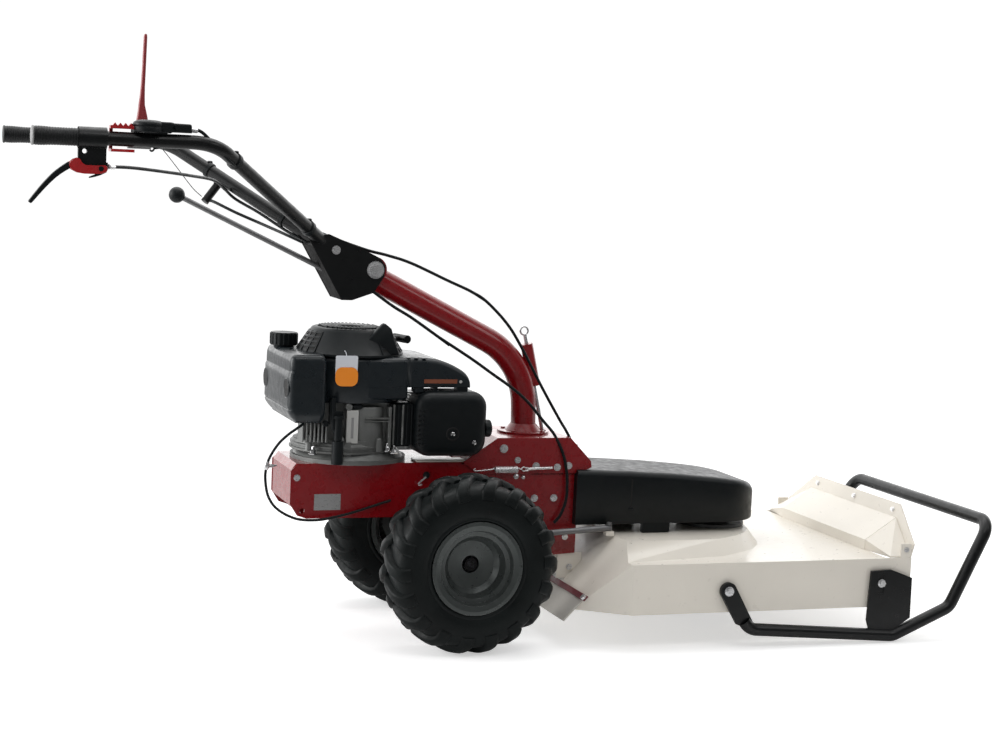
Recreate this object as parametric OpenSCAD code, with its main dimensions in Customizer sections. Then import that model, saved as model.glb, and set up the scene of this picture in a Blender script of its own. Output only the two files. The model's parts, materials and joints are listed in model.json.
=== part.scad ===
// Walk-behind two-wheel brush mower: power unit, swivelling handle column and front rotary deck.
// Millimetres. +X forward (towards the deck), +Y to the operator's left, +Z up.
// Origin on the ground, under the middle of the wheel axle.

/* [Wheels] */
// Outer radius of the tyre over its lugs
tyre_r = 170; // [165:1:172]
// Width of the tyre tread
tyre_w = 112; // [105:1:116]
// Distance from the mid-plane to each wheel's centre
half_track = 209; // [207:1:212]
// Number of lugs on each side of a tyre
lug_n = 18; // [12:1:22]

/* [Chassis] */
// Outside half-width of the chassis side plates
frame_hw = 80; // [78:1:81]
// Height of the engine plate's top face
plate_top = 342; // [342:1:342]

/* [Transmission] */
// Groove radius of the engine pulley
pul_crank_r = 36; // [34:1:38]
// Groove radius of the gearbox pulley
pul_gear_r = 52; // [48:1:54]
// Groove radius of the spindle pulley
pul_spin_r = 60; // [56:1:62]
// Worm wheel tooth count
wheel_teeth = 32; // [32:1:32]

/* [Handle] */
// Outside radius of the handlebar tubes
bar_r = 12.5; // [12:0.5:12.5]
// Half-spacing of the two grips
grip_y = 252; // [245:1:256]
// Height of the grips
grip_z = 936; // [925:1:945]

/* [Deck] */
// Half-width of the deck
deck_hw = 268.7; // [268.7:0.1:268.7]
// Height of the deck's top plate
deck_top = 169.5; // [169.5:0.5:169.5]
// Height of the deck skirt's lower edge
skirt_z = 71; // [68:1:76]
// Sheet thickness
sheet = 3; // [2.5:0.5:3.5]

/* [Hidden] */
$fn = 48;
e = 0.02;
crank_x = -188;
worm_x = 66;
spin_x = 600;
axle_z = tyre_r;
col_x = 174;
piv = [-158, 0, 710];
skid_piv = [515, 0, 115];
module_m = 3;
pitch = PI*module_m;

// ---------- vectors and sweeps ----------
function unit(v) = v/norm(v);
function side(d) = unit(abs(d[2]) < 0.9 ? cross(d, [0, 0, 1]) : cross(d, [1, 0, 0]));
function mat(x, y, z, o) = [[x[0], y[0], z[0], o[0]], [x[1], y[1], z[1], o[1]],
                            [x[2], y[2], z[2], o[2]], [0, 0, 0, 1]];
// Places children with their +Z along d, starting at a.
module along(a, d) {
  z = unit(d); x = side(z);
  multmatrix(mat(x, cross(z, x), z, a)) children();
}
// Straight rod or tube from a to b.
module rod(a, b, r, ri = 0) {
  along(a, b - a) difference() {
    cylinder(r = r, h = norm(b - a));
    if (ri > 0) translate([0, 0, -1]) cylinder(r = ri, h = norm(b - a) + 2);
  }
}
function turn(p, i) = acos(max(-1, min(1, unit(p[i] - p[i-1])*unit(p[i+1] - p[i]))));
function cut(p, i, bend) = (i <= 0 || i >= len(p) - 1) ? 0 : bend*tan(turn(p, i)/2);
// Round bar or tube through a list of points, with bends of radius bend. Each bend is a hair
// thicker than the straights, which run 1 mm into it, so that all the pieces fuse.
module path(p, r, bend, ri = 0) {
  k = len(p) - 1;
  for (i = [0:k - 1]) {
    d = unit(p[i+1] - p[i]);
    rod(p[i] + d*(cut(p, i, bend) - (i > 0 ? 1 : 0)), p[i+1] - d*(cut(p, i+1, bend) - (i < k - 1 ? 1 : 0)), r, ri);
  }
  if (k > 1) for (i = [1:k - 1]) {
    d1 = unit(p[i] - p[i-1]); d2 = unit(p[i+1] - p[i]); a = turn(p, i);
    n = unit(d2 - d1*(d1*d2));
    s = p[i] - d1*cut(p, i, bend);
    multmatrix(mat(-n, d1, cross(-n, d1), s + n*bend)) rotate_extrude(angle = a)
      translate([bend, 0]) difference() { circle(r = r + 0.05); if (ri > 0) circle(r = ri - 0.05); }
  }
}
// Sheet in the XZ plane from y0 to y0+t.
module plate_xz(pts, y0, t) { translate([0, y0 + t, 0]) rotate([90, 0, 0]) linear_extrude(height = t) polygon(pts); }
// Sheet in the YZ plane, thickness t towards +X, outline given as [y, z].
module plate_yz(pts, x0, t) { multmatrix([[0, 0, 1, x0], [1, 0, 0, 0], [0, 1, 0, 0], [0, 0, 0, 1]]) linear_extrude(height = t) polygon(pts); }
module cyl_y(x, z, r, y0, y1) { translate([x, y1, z]) rotate([90, 0, 0]) cylinder(r = r, h = y1 - y0); }
module cyl_x(y, z, r, x0, x1) { translate([x0, y, z]) rotate([0, 90, 0]) cylinder(r = r, h = x1 - x0); }
module box(a, b) { translate(a) cube(b - a); }
// Prism on a closed 3-D outline of coplanar points, thickness t along n.
module slab(o, n, t) {
  k = len(o); p = cross(o[1] - o[0], o[2] - o[0])*n > 0 ? o : [for (i = [k-1:-1:0]) o[i]];
  q = concat(p, [for (v = p) v + unit(n)*t]);
  polyhedron(points = q, faces = concat([[for (i = [0:k-1]) i]], [[for (i = [k-1:-1:0]) i + k]],
    [for (i = [0:k-1]) [i, i + k, (i+1)%k + k, (i+1)%k]]));
}
// Hexagon bolt seated at a, head pointing along d: washer, head, shank.
module bolt(a, d, s = 8, shank = 10) {
  along(a, d) {
    cylinder(r = s*1.05, h = 1.6);
    translate([0, 0, 1.6 - e]) cylinder(r = s*0.85, h = s*0.62, $fn = 6);
    translate([0, 0, -shank]) cylinder(r = s*0.5, h = shank + e);
  }
}
// Rounded box whose long edges (along Y) are rounded by r.
module rbox_y(x0, x1, z0, z1, y0, y1, r) {
  box([x0 + r, y0, z0], [x1 - r, y1, z1]);
  box([x0, y0, z0 + r], [x1, y1, z1 - r]);
  for (x = [x0 + r, x1 - r], z = [z0 + r, z1 - r]) cyl_y(x, z, r, y0, y1);
}

// ---------- chassis ----------
side_pts = [[-319, 329], [-319, 265], [-304, 242], [-286, 236], [140, 236], [222, 154],
            [267, 157], [267, 316], [262, 376], [98, 376], [30, 338], [-308, 338]];
module main_frame() color([0.62, 0.03, 0.05]) difference() {
  union() {
    for (s = [-1, 1]) plate_xz(side_pts, s > 0 ? frame_hw - 4 : -frame_hw, 4);
    box([-308, -frame_hw, 338], [20, frame_hw, plate_top]);
    box([-318, -76 - e, 262], [-314, 76 + e, 329]);
    plate_xz([[-318, 328.9], [-308, 342], [-299, 342], [-299, 338], [-308, 338], [-314, 328.9]], -76, 152);
    box([-286, -76 - e, 236], [-120, 76 + e, 239]);
    box([262, -76 - e, 158], [267, 76 + e, 236]);
    for (x = [-70, 205]) cyl_y(x, 248, 8, -76 - e, 76 + e);
  }
  cyl_y(-295, 251, 5, -100, 100);
  translate([crank_x, 0, 330]) cylinder(r = 62, h = 20);
  cyl_y(244, 190, 3.1, -100, 100);
}
saddle_pts = [[22, 342.2], [92, 390], [245, 390], [291, 343], [293, 330], [267, 319], [60, 319], [40, 330]];
module column_saddle() color([0.62, 0.03, 0.05]) {
  for (s = [-1, 1]) plate_xz(saddle_pts, s > 0 ? frame_hw + 0.1 : -frame_hw - 4.1, 4);
  plate_xz([[92, 386], [92, 390], [245, 390], [291, 343], [289, 340], [243, 386]], -80.2, 160.4);
  plate_xz([[24, 342.4], [92, 390], [92, 386], [30, 342.4]], -80.2, 160.4);
}
module data_plate() color([0.7, 0.71, 0.72]) box([-272, -frame_hw - 1, 252], [-220, -frame_hw, 283]);
module swivel_base() color([0.6, 0.03, 0.05]) difference() {
  union() {
    translate([col_x, 0, 390]) cylinder(r = 52, h = 4);
    translate([col_x, 0, 394 - e]) cylinder(r = 15, h = 52);
    for (a = [45, 135, 225, 315]) translate([col_x + 44*cos(a), 44*sin(a), 394 - e]) cylinder(r = 5, h = 2.4, $fn = 6);
  }
  // Arc slot for the tip of the column pin: its ends stop the swing at 24 degrees each way.
  translate([col_x, 0, 0]) rotate([0, 0, -31.2]) rotate_extrude(angle = 62.4) translate([36.8, 389]) square([10, 6]);
}
side_bolts = [[105, 369, 8], [174, 334, 7], [219, 331, 7], [243, 334, 7], [135, 346, 6]];
low_bolts = [[175, 269, 7], [216, 269, 7], [-307, 315, 6], [244, 190, 6], [60, 240, 6], [-20, 240, 6]];
module frame_bolts() color([0.75, 0.75, 0.76]) {
  for (s = [-1, 1], b = side_bolts) bolt([b[0], s*(frame_hw + 4.1), b[1]], [0, s, 0], b[2], 9);
  for (s = [-1, 1], b = low_bolts) bolt([b[0], s*frame_hw, b[1]], [0, s, 0], b[2], 9);
}

// ---------- gearbox, worm and wheel ----------
module gearbox_housing() color([0.36, 0.37, 0.38]) difference() {
  union() {
    cyl_y(0, axle_z, 60, -30, 30);
    box([36, -30, 116], [96, 30, 256]);
    box([-40, -75.9, 236.5], [104, 75.9, 244]);
    box([-20, -30, 200], [60, 30, 240]);
    for (s = [-1, 1]) cyl_y(0, axle_z, 24, s > 0 ? 29 : -50, s > 0 ? 50 : -29);
    translate(idler_p + [0, 0, 243.9]) cylinder(r = 5, h = 19.1);
  }
  cyl_y(0, axle_z, 54, -24, 24);
  box([42, -24, 122], [90, 24, 246]);
  cyl_y(0, axle_z, 12.55, -60, 60);
  translate([worm_x, 0, 119]) cylinder(r = 10.05, h = 150);
}
wr = module_m*wheel_teeth/2;
module worm_wheel() color([0.72, 0.55, 0.25]) difference() {
  translate([0, 7, axle_z]) rotate([90, 0, 0]) linear_extrude(height = 14) polygon([
    for (i = [0:wheel_teeth - 1], k = [0:3]) let (a = 360*i/wheel_teeth,
      r = (k == 0 || k == 3) ? wr - 3.7 : wr + 2.9,
      w = [-2.75, -0.62, 0.62, 2.75][k])
      [r*cos(a) - w*sin(a), r*sin(a) + w*cos(a)]]);
  cyl_y(0, axle_z, 12.5, -20, 20);
}
function worm_rad(s) = max(14.2, min(20.8, 18 + (pitch/4 - 0.3 - abs(s))/tan(20)));
module worm_shaft() color([0.55, 0.56, 0.58]) {
  translate([worm_x, 0, 119.2]) cylinder(r = 10, h = 32);
  translate([worm_x, 0, 150]) cylinder(r = 13, h = 6);
  translate([worm_x, 0, axle_z - 1.5*pitch]) linear_extrude(height = 3*pitch, twist = -1080, slices = 36)
    polygon([for (i = [0:15]) let (t = 22.5*i, s = (t > 180 ? t - 360 : t)/360*pitch)
      worm_rad(s)*[cos(t + 180), sin(t + 180)]]);
  translate([worm_x, 0, axle_z + 1.5*pitch - e]) cylinder(r = 13, h = 8);
  translate([worm_x, 0, axle_z + 1.5*pitch + 7]) cylinder(r = 10, h = 120 - 1.5*pitch);
}
module axle() color([0.5, 0.51, 0.53]) difference() {
  union() {
    cyl_y(0, axle_z, 12.5, -222, 222);
    for (s = [-1, 1]) cyl_y(0, axle_z, 34, s > 0 ? 162 : -169, s > 0 ? 169 : -162);
  }
  for (s = [-1, 1]) cyl_y(0, axle_z, 7.5, s > 0 ? 188 : -223, s > 0 ? 223 : -188);
  for (s = [-1, 1], i = [0:3]) translate([0, s*165, axle_z]) rotate([0, 90*i + 45, 0]) translate([25.5, 10, 0]) rotate([90, 0, 0]) cylinder(r = 3.2, h = 20);
}

// ---------- pulleys and belts ----------
// V pulley with grooves centred on the given heights, all of radius r.
module pulley(x, r, zs, bore, z0, z1) {
  translate([x, 0, 0]) difference() {
    translate([0, 0, z0]) cylinder(r = r + 3, h = z1 - z0);
    for (z = zs) rotate_extrude() polygon([[r - 9.5, z - 4.4], [r - 9.5, z + 4.4], [r + 4, z + 7.9], [r + 4, z - 7.9]]);
    translate([0, 0, z0 - 1]) cylinder(r = bore, h = z1 - z0 + 2);
  }
}
// Open V belt round two pulleys on the X axis. The arcs are a hair thicker than the straights.
module belt(x1, r1, x2, r2, z) {
  b = asin((r2 - r1)/(x2 - x1));
  q = [[-8, -3.9], [-8, 3.9], [0.6, 6.1], [0.6, -6.1]];
  qa = [[-8.05, -3.95], [-8.05, 3.95], [0.65, 6.15], [0.65, -6.15]];
  translate([x1, 0, z]) rotate([0, 0, 90 + b]) rotate_extrude(angle = 180 - 2*b) translate([r1, 0]) polygon(qa);
  translate([x2, 0, z]) rotate([0, 0, -90 - b]) rotate_extrude(angle = 180 + 2*b) translate([r2, 0]) polygon(qa);
  for (s = [-1, 1]) {
    n = [-sin(b), s*cos(b), 0]; d = [cos(b), s*sin(b), 0]; L = (x2 - x1)*cos(b);
    multmatrix(mat(n, [0, 0, 1], s > 0 ? d : -d, (s > 0 ? [x1, 0, z] + n*r1 : [x2, 0, z] + n*r2) - (s > 0 ? d : -d)))
      linear_extrude(height = L + 2) polygon(q);
  }
}
module engine_pulley() color([0.45, 0.46, 0.48]) pulley(crank_x, pul_crank_r, [270, 290], 12.5, 260, 300);
module gearbox_pulley() color([0.45, 0.46, 0.48]) pulley(worm_x, pul_gear_r, [290], 10.02, 281, 299);
module spindle_pulley() color([0.45, 0.46, 0.48]) pulley(spin_x, pul_spin_r, [270], 12.52, 261, 279);
module drive_belt() color([0.08, 0.08, 0.09]) belt(crank_x, pul_crank_r, worm_x, pul_gear_r, 290);
module deck_belt() color([0.08, 0.08, 0.09]) belt(crank_x, pul_crank_r, spin_x, pul_spin_r, 270);
idler_p = [10, -58, 0];
module idler_arm() color([0.5, 0.5, 0.52]) {
  difference() {
    union() {
      translate([idler_p[0], idler_p[1], 250]) cylinder(r = 9, h = 12);
      box([-45, -63, 252], [10, -54, 257]);
      translate([-45, -58, 252]) cylinder(r = 9, h = 5);
      translate([-45, -58, 257 - e]) cylinder(r = 5, h = 24);
    }
    translate([idler_p[0], idler_p[1], 240]) cylinder(r = 5.05, h = 40);
  }
  translate([-45, -58, 262]) difference() { cylinder(r = 11, h = 16); translate([0, 0, -1]) cylinder(r = 5.02, h = 18); }
}
module coil(a, b, r, w, turns) {
  L = norm(b - a); p = L/turns;
  along(a, b - a) for (i = [0:turns - 1]) translate([0, 0, (i + 0.5)*p]) rotate_extrude() translate([r, 0]) circle(r = w);
}
module tension_spring() color([0.72, 0.72, 0.73]) {
  rod([86, -91, 327.5], [134, -91, 328.5], 6);
  rod([44, -91, 326], [86.1, -91, 327.5], 1.5);
  rod([133.9, -91, 328.5], [206, -91, 331], 2);
}

// ---------- engine ----------
module engine_block() color([0.55, 0.55, 0.54]) difference() {
  union() {
    translate([crank_x, 0, plate_top + 0.1]) cylinder(r = 112, h = 8);
    translate([crank_x, 0, plate_top + 8]) cylinder(r1 = 106, r2 = 94, h = 14);
    translate([crank_x, 0, plate_top + 21.9]) cylinder(r = 94, h = 22);
    box([-271, -72, 380], [-110, 70, 457]);
    box([-111, -24, 392], [-4, 60, 456]);
    for (i = [0:5]) box([-104 + 17*i, -28, 396], [-98 + 17*i, 68, 458.6]);
    for (i = [0:5]) translate([crank_x, 0, 0]) rotate([0, 0, 60*i + 15]) box([86, -6, plate_top + 8], [100, 6, 384]);
    cyl_x(-60, 400, 10, -276, -265);
    translate([-236, -103, plate_top + 2]) cylinder(r = 11, h = 44);
  }
  translate([crank_x, 0, 330]) cylinder(r = 15.05, h = 160);
  translate([crank_x, 0, 360]) cylinder(r = 55, h = 80);
  translate([-236, -103, 382]) cylinder(r = 6.2, h = 8);
}
module muffler() color([0.2, 0.2, 0.21]) {
  rbox_y(-90, 40, 385, 460, 74, 122, 18);
  for (i = [0:4]) box([-70 + 20*i, 121, 400], [-62 + 20*i, 124, 445]);
  cyl_y(-40, 425, 14, 68.1, 75);
}
module carburettor() color([0.6, 0.6, 0.61]) difference() {
  union() { box([-70, -44, 415], [-26, -28.1, 452]); cyl_y(-48, 434, 13, -44, -28.2); }
  cyl_y(-48, 434, 8, -60, -20);
}
module air_filter_box() color([0.05, 0.055, 0.065]) {
  difference() {
    union() {
      rbox_y(-72, 61, 357, 486, -106, -44.1, 30);
      rbox_y(-68, 57, 361, 482, -112, -105.9, 26);
    }
    rbox_y(-67, 56, 362, 481, -104, -50, 25);
    for (i = [0:7]) box([-75, -100, 384 + 11*i], [-66, -58, 389 + 11*i]);
  }
  cyl_y(-12, 404, 5, -114, -111);
  cyl_y(33, 388, 5, -114, -111);
  cyl_x(-90, 412, 16, 60.9, 73);
}
shroud_pts = [[-96, 489], [-96, 550], [-36, 542], [22, 517], [28, 508], [28, 489]];
module blower_shroud() color([0.06, 0.065, 0.075]) difference() {
  union() {
    translate([crank_x, 0, 459]) cylinder(r = 100, h = 85);
    plate_xz(shroud_pts, -90, 172);
    box([-188, -99, 466], [-96, -88, 540]);
    box([-188, -99.9, 489], [-94, 90, 543.9]);
  }
  difference() {
    union() {
      translate([crank_x, 0, 458]) cylinder(r = 97, h = 83);
      plate_xz([[-130, 470], [-130, 541], [-96, 546], [-36, 538], [23, 512], [26, 498], [26, 470]], -87, 166);
    }
  }
  translate([crank_x, 0, 535]) cylinder(r = 78, h = 20);
  translate([-192, 0, 545.8]) cylinder(r = 104.4, h = 20);
}
rec = [-192, 0, 0];
module recoil_cover() color([0.05, 0.055, 0.06]) difference() {
  union() {
    translate(rec + [0, 0, 546]) cylinder(r = 104, h = 5);
    translate(rec + [0, 0, 551 - e]) cylinder(r1 = 104, r2 = 76, h = 43);
    translate(rec + [0, 0, 594 - 2*e]) cylinder(r = 73, h = 3);
    for (i = [0:6]) translate(rec) box([-48 + 14*i, -40, 596.9], [-42 + 14*i, 40, 600]);
    plate_xz([[-196, 552], [-147, 609], [-132, 600], [-128, 580], [-122, 552]], -84, 14);
  }
  translate(rec + [0, 0, 545]) cylinder(r = 94, h = 6.1);
  translate(rec + [0, 0, 551]) cylinder(r1 = 94, r2 = 69, h = 40);
  for (i = [0:17]) translate(rec) rotate([0, 0, 20*i]) box([78, -3, 557], [102, 3, 584]);
  along(rec + pull_d*50 + [0, 0, 572], pull_d) cylinder(r = 4, h = 80);
}
cap_p = [-308, 60, 0];
// Upright-edged rounded box.
module rbox_z(x0, x1, y0, y1, z0, z1, r) {
  box([x0 + r, y0, z0], [x1 - r, y1, z1]);
  box([x0, y0 + r, z0], [x1, y1 - r, z1]);
  for (x = [x0 + r, x1 - r], y = [y0 + r, y1 - r]) translate([x, y, z0]) cylinder(r = r, h = z1 - z0);
}
module fuel_tank() color([0.12, 0.13, 0.15]) difference() {
  union() {
    rbox_z(-335, -256, -110, 107, 422, 552, 14);
    translate(cap_p + [0, 0, 551.9]) cylinder(r = 19, h = 14);
  }
  translate([crank_x, 0, 380]) cylinder(r = 113, h = 220);
  for (y = [-52, 52]) cyl_x(y, 492, 18, -337, -331);
  translate(cap_p + [0, 0, 535]) cylinder(r = 13, h = 40);
  box([-327, -100, 430], [-307, 98, 544]);
}
module hang_tag() color([0.9, 0.45, 0.05]) { box([-243, -106, 500], [-203, -105, 548]); rod([-223, -105.5, 547], [-223, -105.5, 558], 1); }
module fuel_cap() color([0.03, 0.03, 0.035]) difference() {
  union() {
    translate(cap_p + [0, 0, 554]) cylinder(r = 26, h = 25);
    for (i = [0:17]) translate(cap_p + [0, 0, 556]) rotate([0, 0, 20*i]) box([25, -2, 0], [27.5, 2, 21]);
  }
  translate(cap_p + [0, 0, 553]) cylinder(r = 19.4, h = 16);
}
module dipstick() color([0.03, 0.03, 0.035]) {
  translate([-236, -103, 389.2]) cylinder(r = 8, h = 42);
  translate([-236, -103, 431]) cylinder(r = 11, h = 6);
  box([-244, -105, 436.9], [-228, -101, 445]);
  translate([-236, -103, 384.5]) cylinder(r = 6, h = 5);
}
pull_d = [0.96, 0.28, 0];
module starter_handle() color([0.03, 0.03, 0.035]) {
  o = [-192, 0, 572];
  along(o + pull_d*40, pull_d) cylinder(r = 3, h = 64);
  along(o + pull_d*99, pull_d) cylinder(r = 6, h = 20);
  along(o + pull_d*118 - [-0.28, 0.96, 0]*24, [-0.28, 0.96, 0]) cylinder(r = 8, h = 48);
}
module crankshaft() color([0.6, 0.6, 0.62]) difference() {
  union() {
    translate([crank_x, 0, 254]) cylinder(r = 12.5, h = 78);
    translate([crank_x, 0, 331.9]) cylinder(r = 15, h = 145);
    translate([crank_x, 0, 476]) cylinder(r = 10, h = 44);
    translate([crank_x, 0, 390]) cylinder(r = 48, h = 12);
    translate([crank_x, 0, 254]) cylinder(r = 18, h = 5.9);
  }
}
module flywheel() color([0.5, 0.5, 0.5]) difference() {
  union() {
    translate([crank_x, 0, 480]) cylinder(r = 90, h = 12);
    for (i = [0:11]) translate([crank_x, 0, 0]) rotate([0, 0, 30*i]) box([50, -2, 491.9], [88, 2, 512]);
    translate([crank_x, 0, 477]) cylinder(r = 22, h = 24);
  }
  translate([crank_x, 0, 470]) cylinder(r = 10.02, h = 60);
}

// ---------- wheels ----------
// Wheel solids are drawn about the origin with the outside facing -Y.
module rim() difference() {
  rotate([90, 0, 0]) rotate_extrude() polygon([
    [17, 10], [30, 12], [46, 14], [54, 22], [60, 40], [68, 42], [72, 52], [82, 55], [89, 55], [89, 50], [80, 47],
    [78, 30], [74, 20], [74, -30], [78, -44], [89, -50], [89, -55], [80, -55], [70, -40], [66, -30], [64, 10],
    [58, 16], [48, 7], [34, 5], [34, -40], [17, -40]]);
  for (i = [0:3]) rotate([0, 90*i + 45, 0]) translate([25.5, 41, 0]) rotate([90, 0, 0]) cylinder(r = 3.2, h = 20);
}
module tyre() {
  rotate([90, 0, 0]) rotate_extrude() polygon([[90, 46], [90, 52], [104, 56], [130, 56], [146, 50], [155, 38], [158, 18], [158, -18],
    [155, -38], [146, -50], [130, -56], [104, -56], [90, -52], [90, -46], [80, -43], [80, 43]]);
  intersection() {
    for (s = [-1, 1], i = [0:lug_n - 1]) rotate([0, 360/lug_n*(i + (s > 0 ? 0.5 : 0)), 0]) translate([0, s*24, 0])
      rotate([0, 0, s*28]) translate([-7, -28, 140]) cube([14, 56, 40]);
    rotate([90, 0, 0]) cylinder(r = tyre_r, h = tyre_w, center = true);
  }
}
module rim_left() color([0.5, 0.51, 0.52]) translate([0, half_track, axle_z]) mirror([0, 1, 0]) rim();
module rim_right() color([0.5, 0.51, 0.52]) translate([0, -half_track, axle_z]) rim();
module tyre_left() color([0.06, 0.06, 0.065]) translate([0, half_track, axle_z]) mirror([0, 1, 0]) tyre();
module tyre_right() color([0.06, 0.06, 0.065]) translate([0, -half_track, axle_z]) tyre();
module wheel_bolts() color([0.72, 0.72, 0.74])
  for (s = [-1, 1], i = [0:3]) translate([0, s*161.9, axle_z]) rotate([0, 90*i + 45, 0]) bolt([25.5, 0, 0], [0, -s, 0], 6, 18);

// ---------- deck ----------
deck_xy = [[215, -196], [315, -deck_hw], [925, -deck_hw], [925, deck_hw], [315, deck_hw], [215, 196]];
ramp = [[100, 300], [438, 300], [217, 71], [217, 0], [100, 0]];
// Deck body grown inwards by t.
module deck_body(t) {
  intersection() {
    difference() {
      translate([0, 0, skirt_z - (t > 0 ? 5 : 0)]) linear_extrude(height = deck_top - skirt_z - t + (t > 0 ? 5 : 0)) polygon([
        [215 + t, -196 + t], [315, -deck_hw + t], [t > 0 ? 930 : 925, -deck_hw + t], [t > 0 ? 930 : 925, deck_hw - t], [315, deck_hw - t], [215 + t, 196 - t]]);
      translate([t*1.4, 0, 0]) plate_xz(ramp, -400, 800);
    }
    box([0, -400, 0], [2000, 400, 400]);
  }
}
module deck_platform(t) {
  difference() {
    intersection() {
      hull() {
        translate([0, 0, deck_top - 1]) linear_extrude(height = 1) union() { polygon([[300, -246 + t], [535, -206 + t], [535, 206 - t], [300, 246 - t]]); translate([490, 0]) circle(r = 200 - t, $fn = 32); }
        translate([0, 0, 196 - t]) linear_extrude(height = 1) union() { polygon([[300, -172 + t], [540, -172 + t], [540, 172 - t], [300, 172 - t]]); translate([500, 0]) circle(r = 168 - t, $fn = 32); }
      }
      box([0, -400, deck_top - 0.8], [2000, 400, 400]);
    }
    translate([t*1.4, 0, 0]) plate_xz(ramp, -400, 800);
  }
}
module deck_shell() color([0.86, 0.84, 0.78]) {
  difference() {
    union() { deck_body(0); deck_platform(0); for (s = [-1, 1]) { box([232, s*73.9 - 2, 105], [284, s*73.9 + 2, 157]); box([232, s*73.9 - 2, 156], [261.5, s*73.9 + 2, 228]); } }
    difference() { deck_body(sheet); box([200, -72, 90], [300, 72, 100]); }
    translate([0, 0, -3.5]) intersection() { deck_platform(sheet); box([0, -400, 100], [2000, 400, 400]); }
    translate([spin_x, 0, 150]) cylinder(r = 41, h = 100);
    cyl_y(244, 190, 3.1, -100, 100);
    box([870, -262, 160], [930, 262, 175]);
    for (s = [-1, 1]) { cyl_y(skid_piv[0], skid_piv[2], 6, s > 0 ? 200 : -300, s > 0 ? 300 : -200); cyl_y(854, 121, 5, s > 0 ? 200 : -300, s > 0 ? 300 : -200); }
  }
}
lean = 14;
module front_hood() color([0.86, 0.84, 0.78]) {
  translate([921, 0, 170]) rotate([0, lean, 0]) difference() {
    plate_yz([[-deck_hw, 0], [-deck_hw, 28], [-180, 96], [180, 96], [deck_hw, 28], [deck_hw, 0], [180, 66], [-180, 66]], 0, 3);
    for (y = [-1, 0, 1]) cyl_x(y*160, y == 0 ? 81 : 81, 4, -5, 8);
  }
  b = 937; zb = 233;
  slab([[b, -181, zb], [868, -181, 188], [868, 181, 188], [b, 181, zb]], [-0.55, 0, 0.83], 3);
  for (s = [-1, 1]) {
    slab([[b, s*180, zb], [868, s*180, 188], [880, s*262, 170]], [-0.35, s*0.55, 0.75], 3);
    slab([[b, s*180, zb], [880, s*262, 170], [922, s*267, 170]], [-0.35, s*0.55, 0.75], 3);
  }
  box([866.5, -181, 169.6], [869.5, 181, 190.4]);
  for (s = [-1, 1]) slab([[867, s*179, 190], [867, s*179, 169.6], [880, s*262, 169.6], [880, s*262, 171]], [1, 0, 0], 3);
  for (s = [-1, 1]) box([900, s*266.5 - 1.5, 168], [924, s*266.5 + 1.5, 198]);
}
module deck_bolts() color([0.75, 0.75, 0.76]) {
  for (y = [-160, 0, 160]) translate([921, 0, 170]) rotate([0, lean, 0]) bolt([0, y, 81], [-1, 0, 0], 5, 8);
  for (s = [-1, 1]) {
    bolt([skid_piv[0], s*279.2, skid_piv[2]], [0, s, 0], 9, 16);
    bolt([854, s*277.7, 121], [0, s, 0], 8, 14);
    bolt([912, s*268.1, 186], [0, s, 0], 5, 6);
    bolt([258, s*77, 128], [0, s, 0], 6, 6);
    along([238.5, s*222, 93.5], [-0.72, 0, 0.7]) translate([0, 0, 7]) cylinder(r = 6, h = 5, $fn = 6);
  }
}
// Frame on the ramp face: u along Y, v up the slope, w outwards.
module on_ramp() { multmatrix(mat([0, 1, 0], unit([221, 0, 229]), unit([-229, 0, 221]), [217, 0, 71])) children(); }
module deflector_flap() color([0.72, 0.69, 0.64]) on_ramp() translate([-214, -28, 0.1]) cube([428, 64, 3.5]);
module flap_strap() color([0.32, 0.03, 0.05]) on_ramp() translate([-228, 26, 3.7]) cube([456, 12, 3]);
cover_top = [[259, 326], [282, 326], [473, 316], [606, 302], [661, 290], [683, 262], [684.5, 216], [259, 216]];
module cover_form(t) {
  intersection() {
    plate_xz([for (p = cover_top) [p[0] < 262 ? p[0] + t : p[0] > 645 ? p[0] - t : p[0], p[1] > 220 ? p[1] - t : p[1] - (t > 0 ? 1 : 0)]], -200, 400);
    translate([0, 0, 210]) linear_extrude(height = 150) union() {
      polygon([[258 + t, -97 + t], [600, -97 + t], [600, 97 - t], [258 + t, 97 - t]]);
      translate([587, 0]) circle(r = 97 - t);
    }
    // Chamfer along both long top edges, following the slope of the top.
    multmatrix([[1, 0, 0, 0], [0, 1, 0, 0], [-0.06, 0, 1, 17 - t], [0, 0, 0, 1]])
      plate_yz([[-98, 180], [-98, 311], [-84, 328], [84, 328], [98, 311], [98, 180]], 250, 450);
  }
}
module belt_cover() color([0.07, 0.075, 0.08]) {
  difference() {
    cover_form(0);
    difference() { cover_form(3); }
    box([250, -84.3, 200], [267.1, 84.3, 345]);
    box([250, -84.3, 318.8], [293.2, 84.3, 345]);
    box([369, -99, 240], [382, -95, 330]);
    box([369, 95, 240], [382, 99, 330]);
  }
  for (s = [-1, 1]) box([405, s > 0 ? 82 : -96.9, 197.1], [465, s > 0 ? 96.9 : -82, 222]);
}
module stay_rod() color([0.55, 0.55, 0.56]) {
  path([[196, -110, 204], [330, -110, 212]], 6, 10);
  box([318, -118, 197.1], [334, -102, 206]);
  bolt([326, -110, 218], [0, 0, 1], 6, 12);
  rod([196, -110, 204], [196, -84, 204], 5);
}
module spindle_housing() color([0.35, 0.36, 0.37]) difference() {
  union() {
    translate([spin_x, 0, 197.2]) cylinder(r = 70, h = 7);
    translate([spin_x, 0, 120]) cylinder(r = 40, h = 130);
  }
  translate([spin_x, 0, 110]) cylinder(r = 15.05, h = 160);
}
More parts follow.
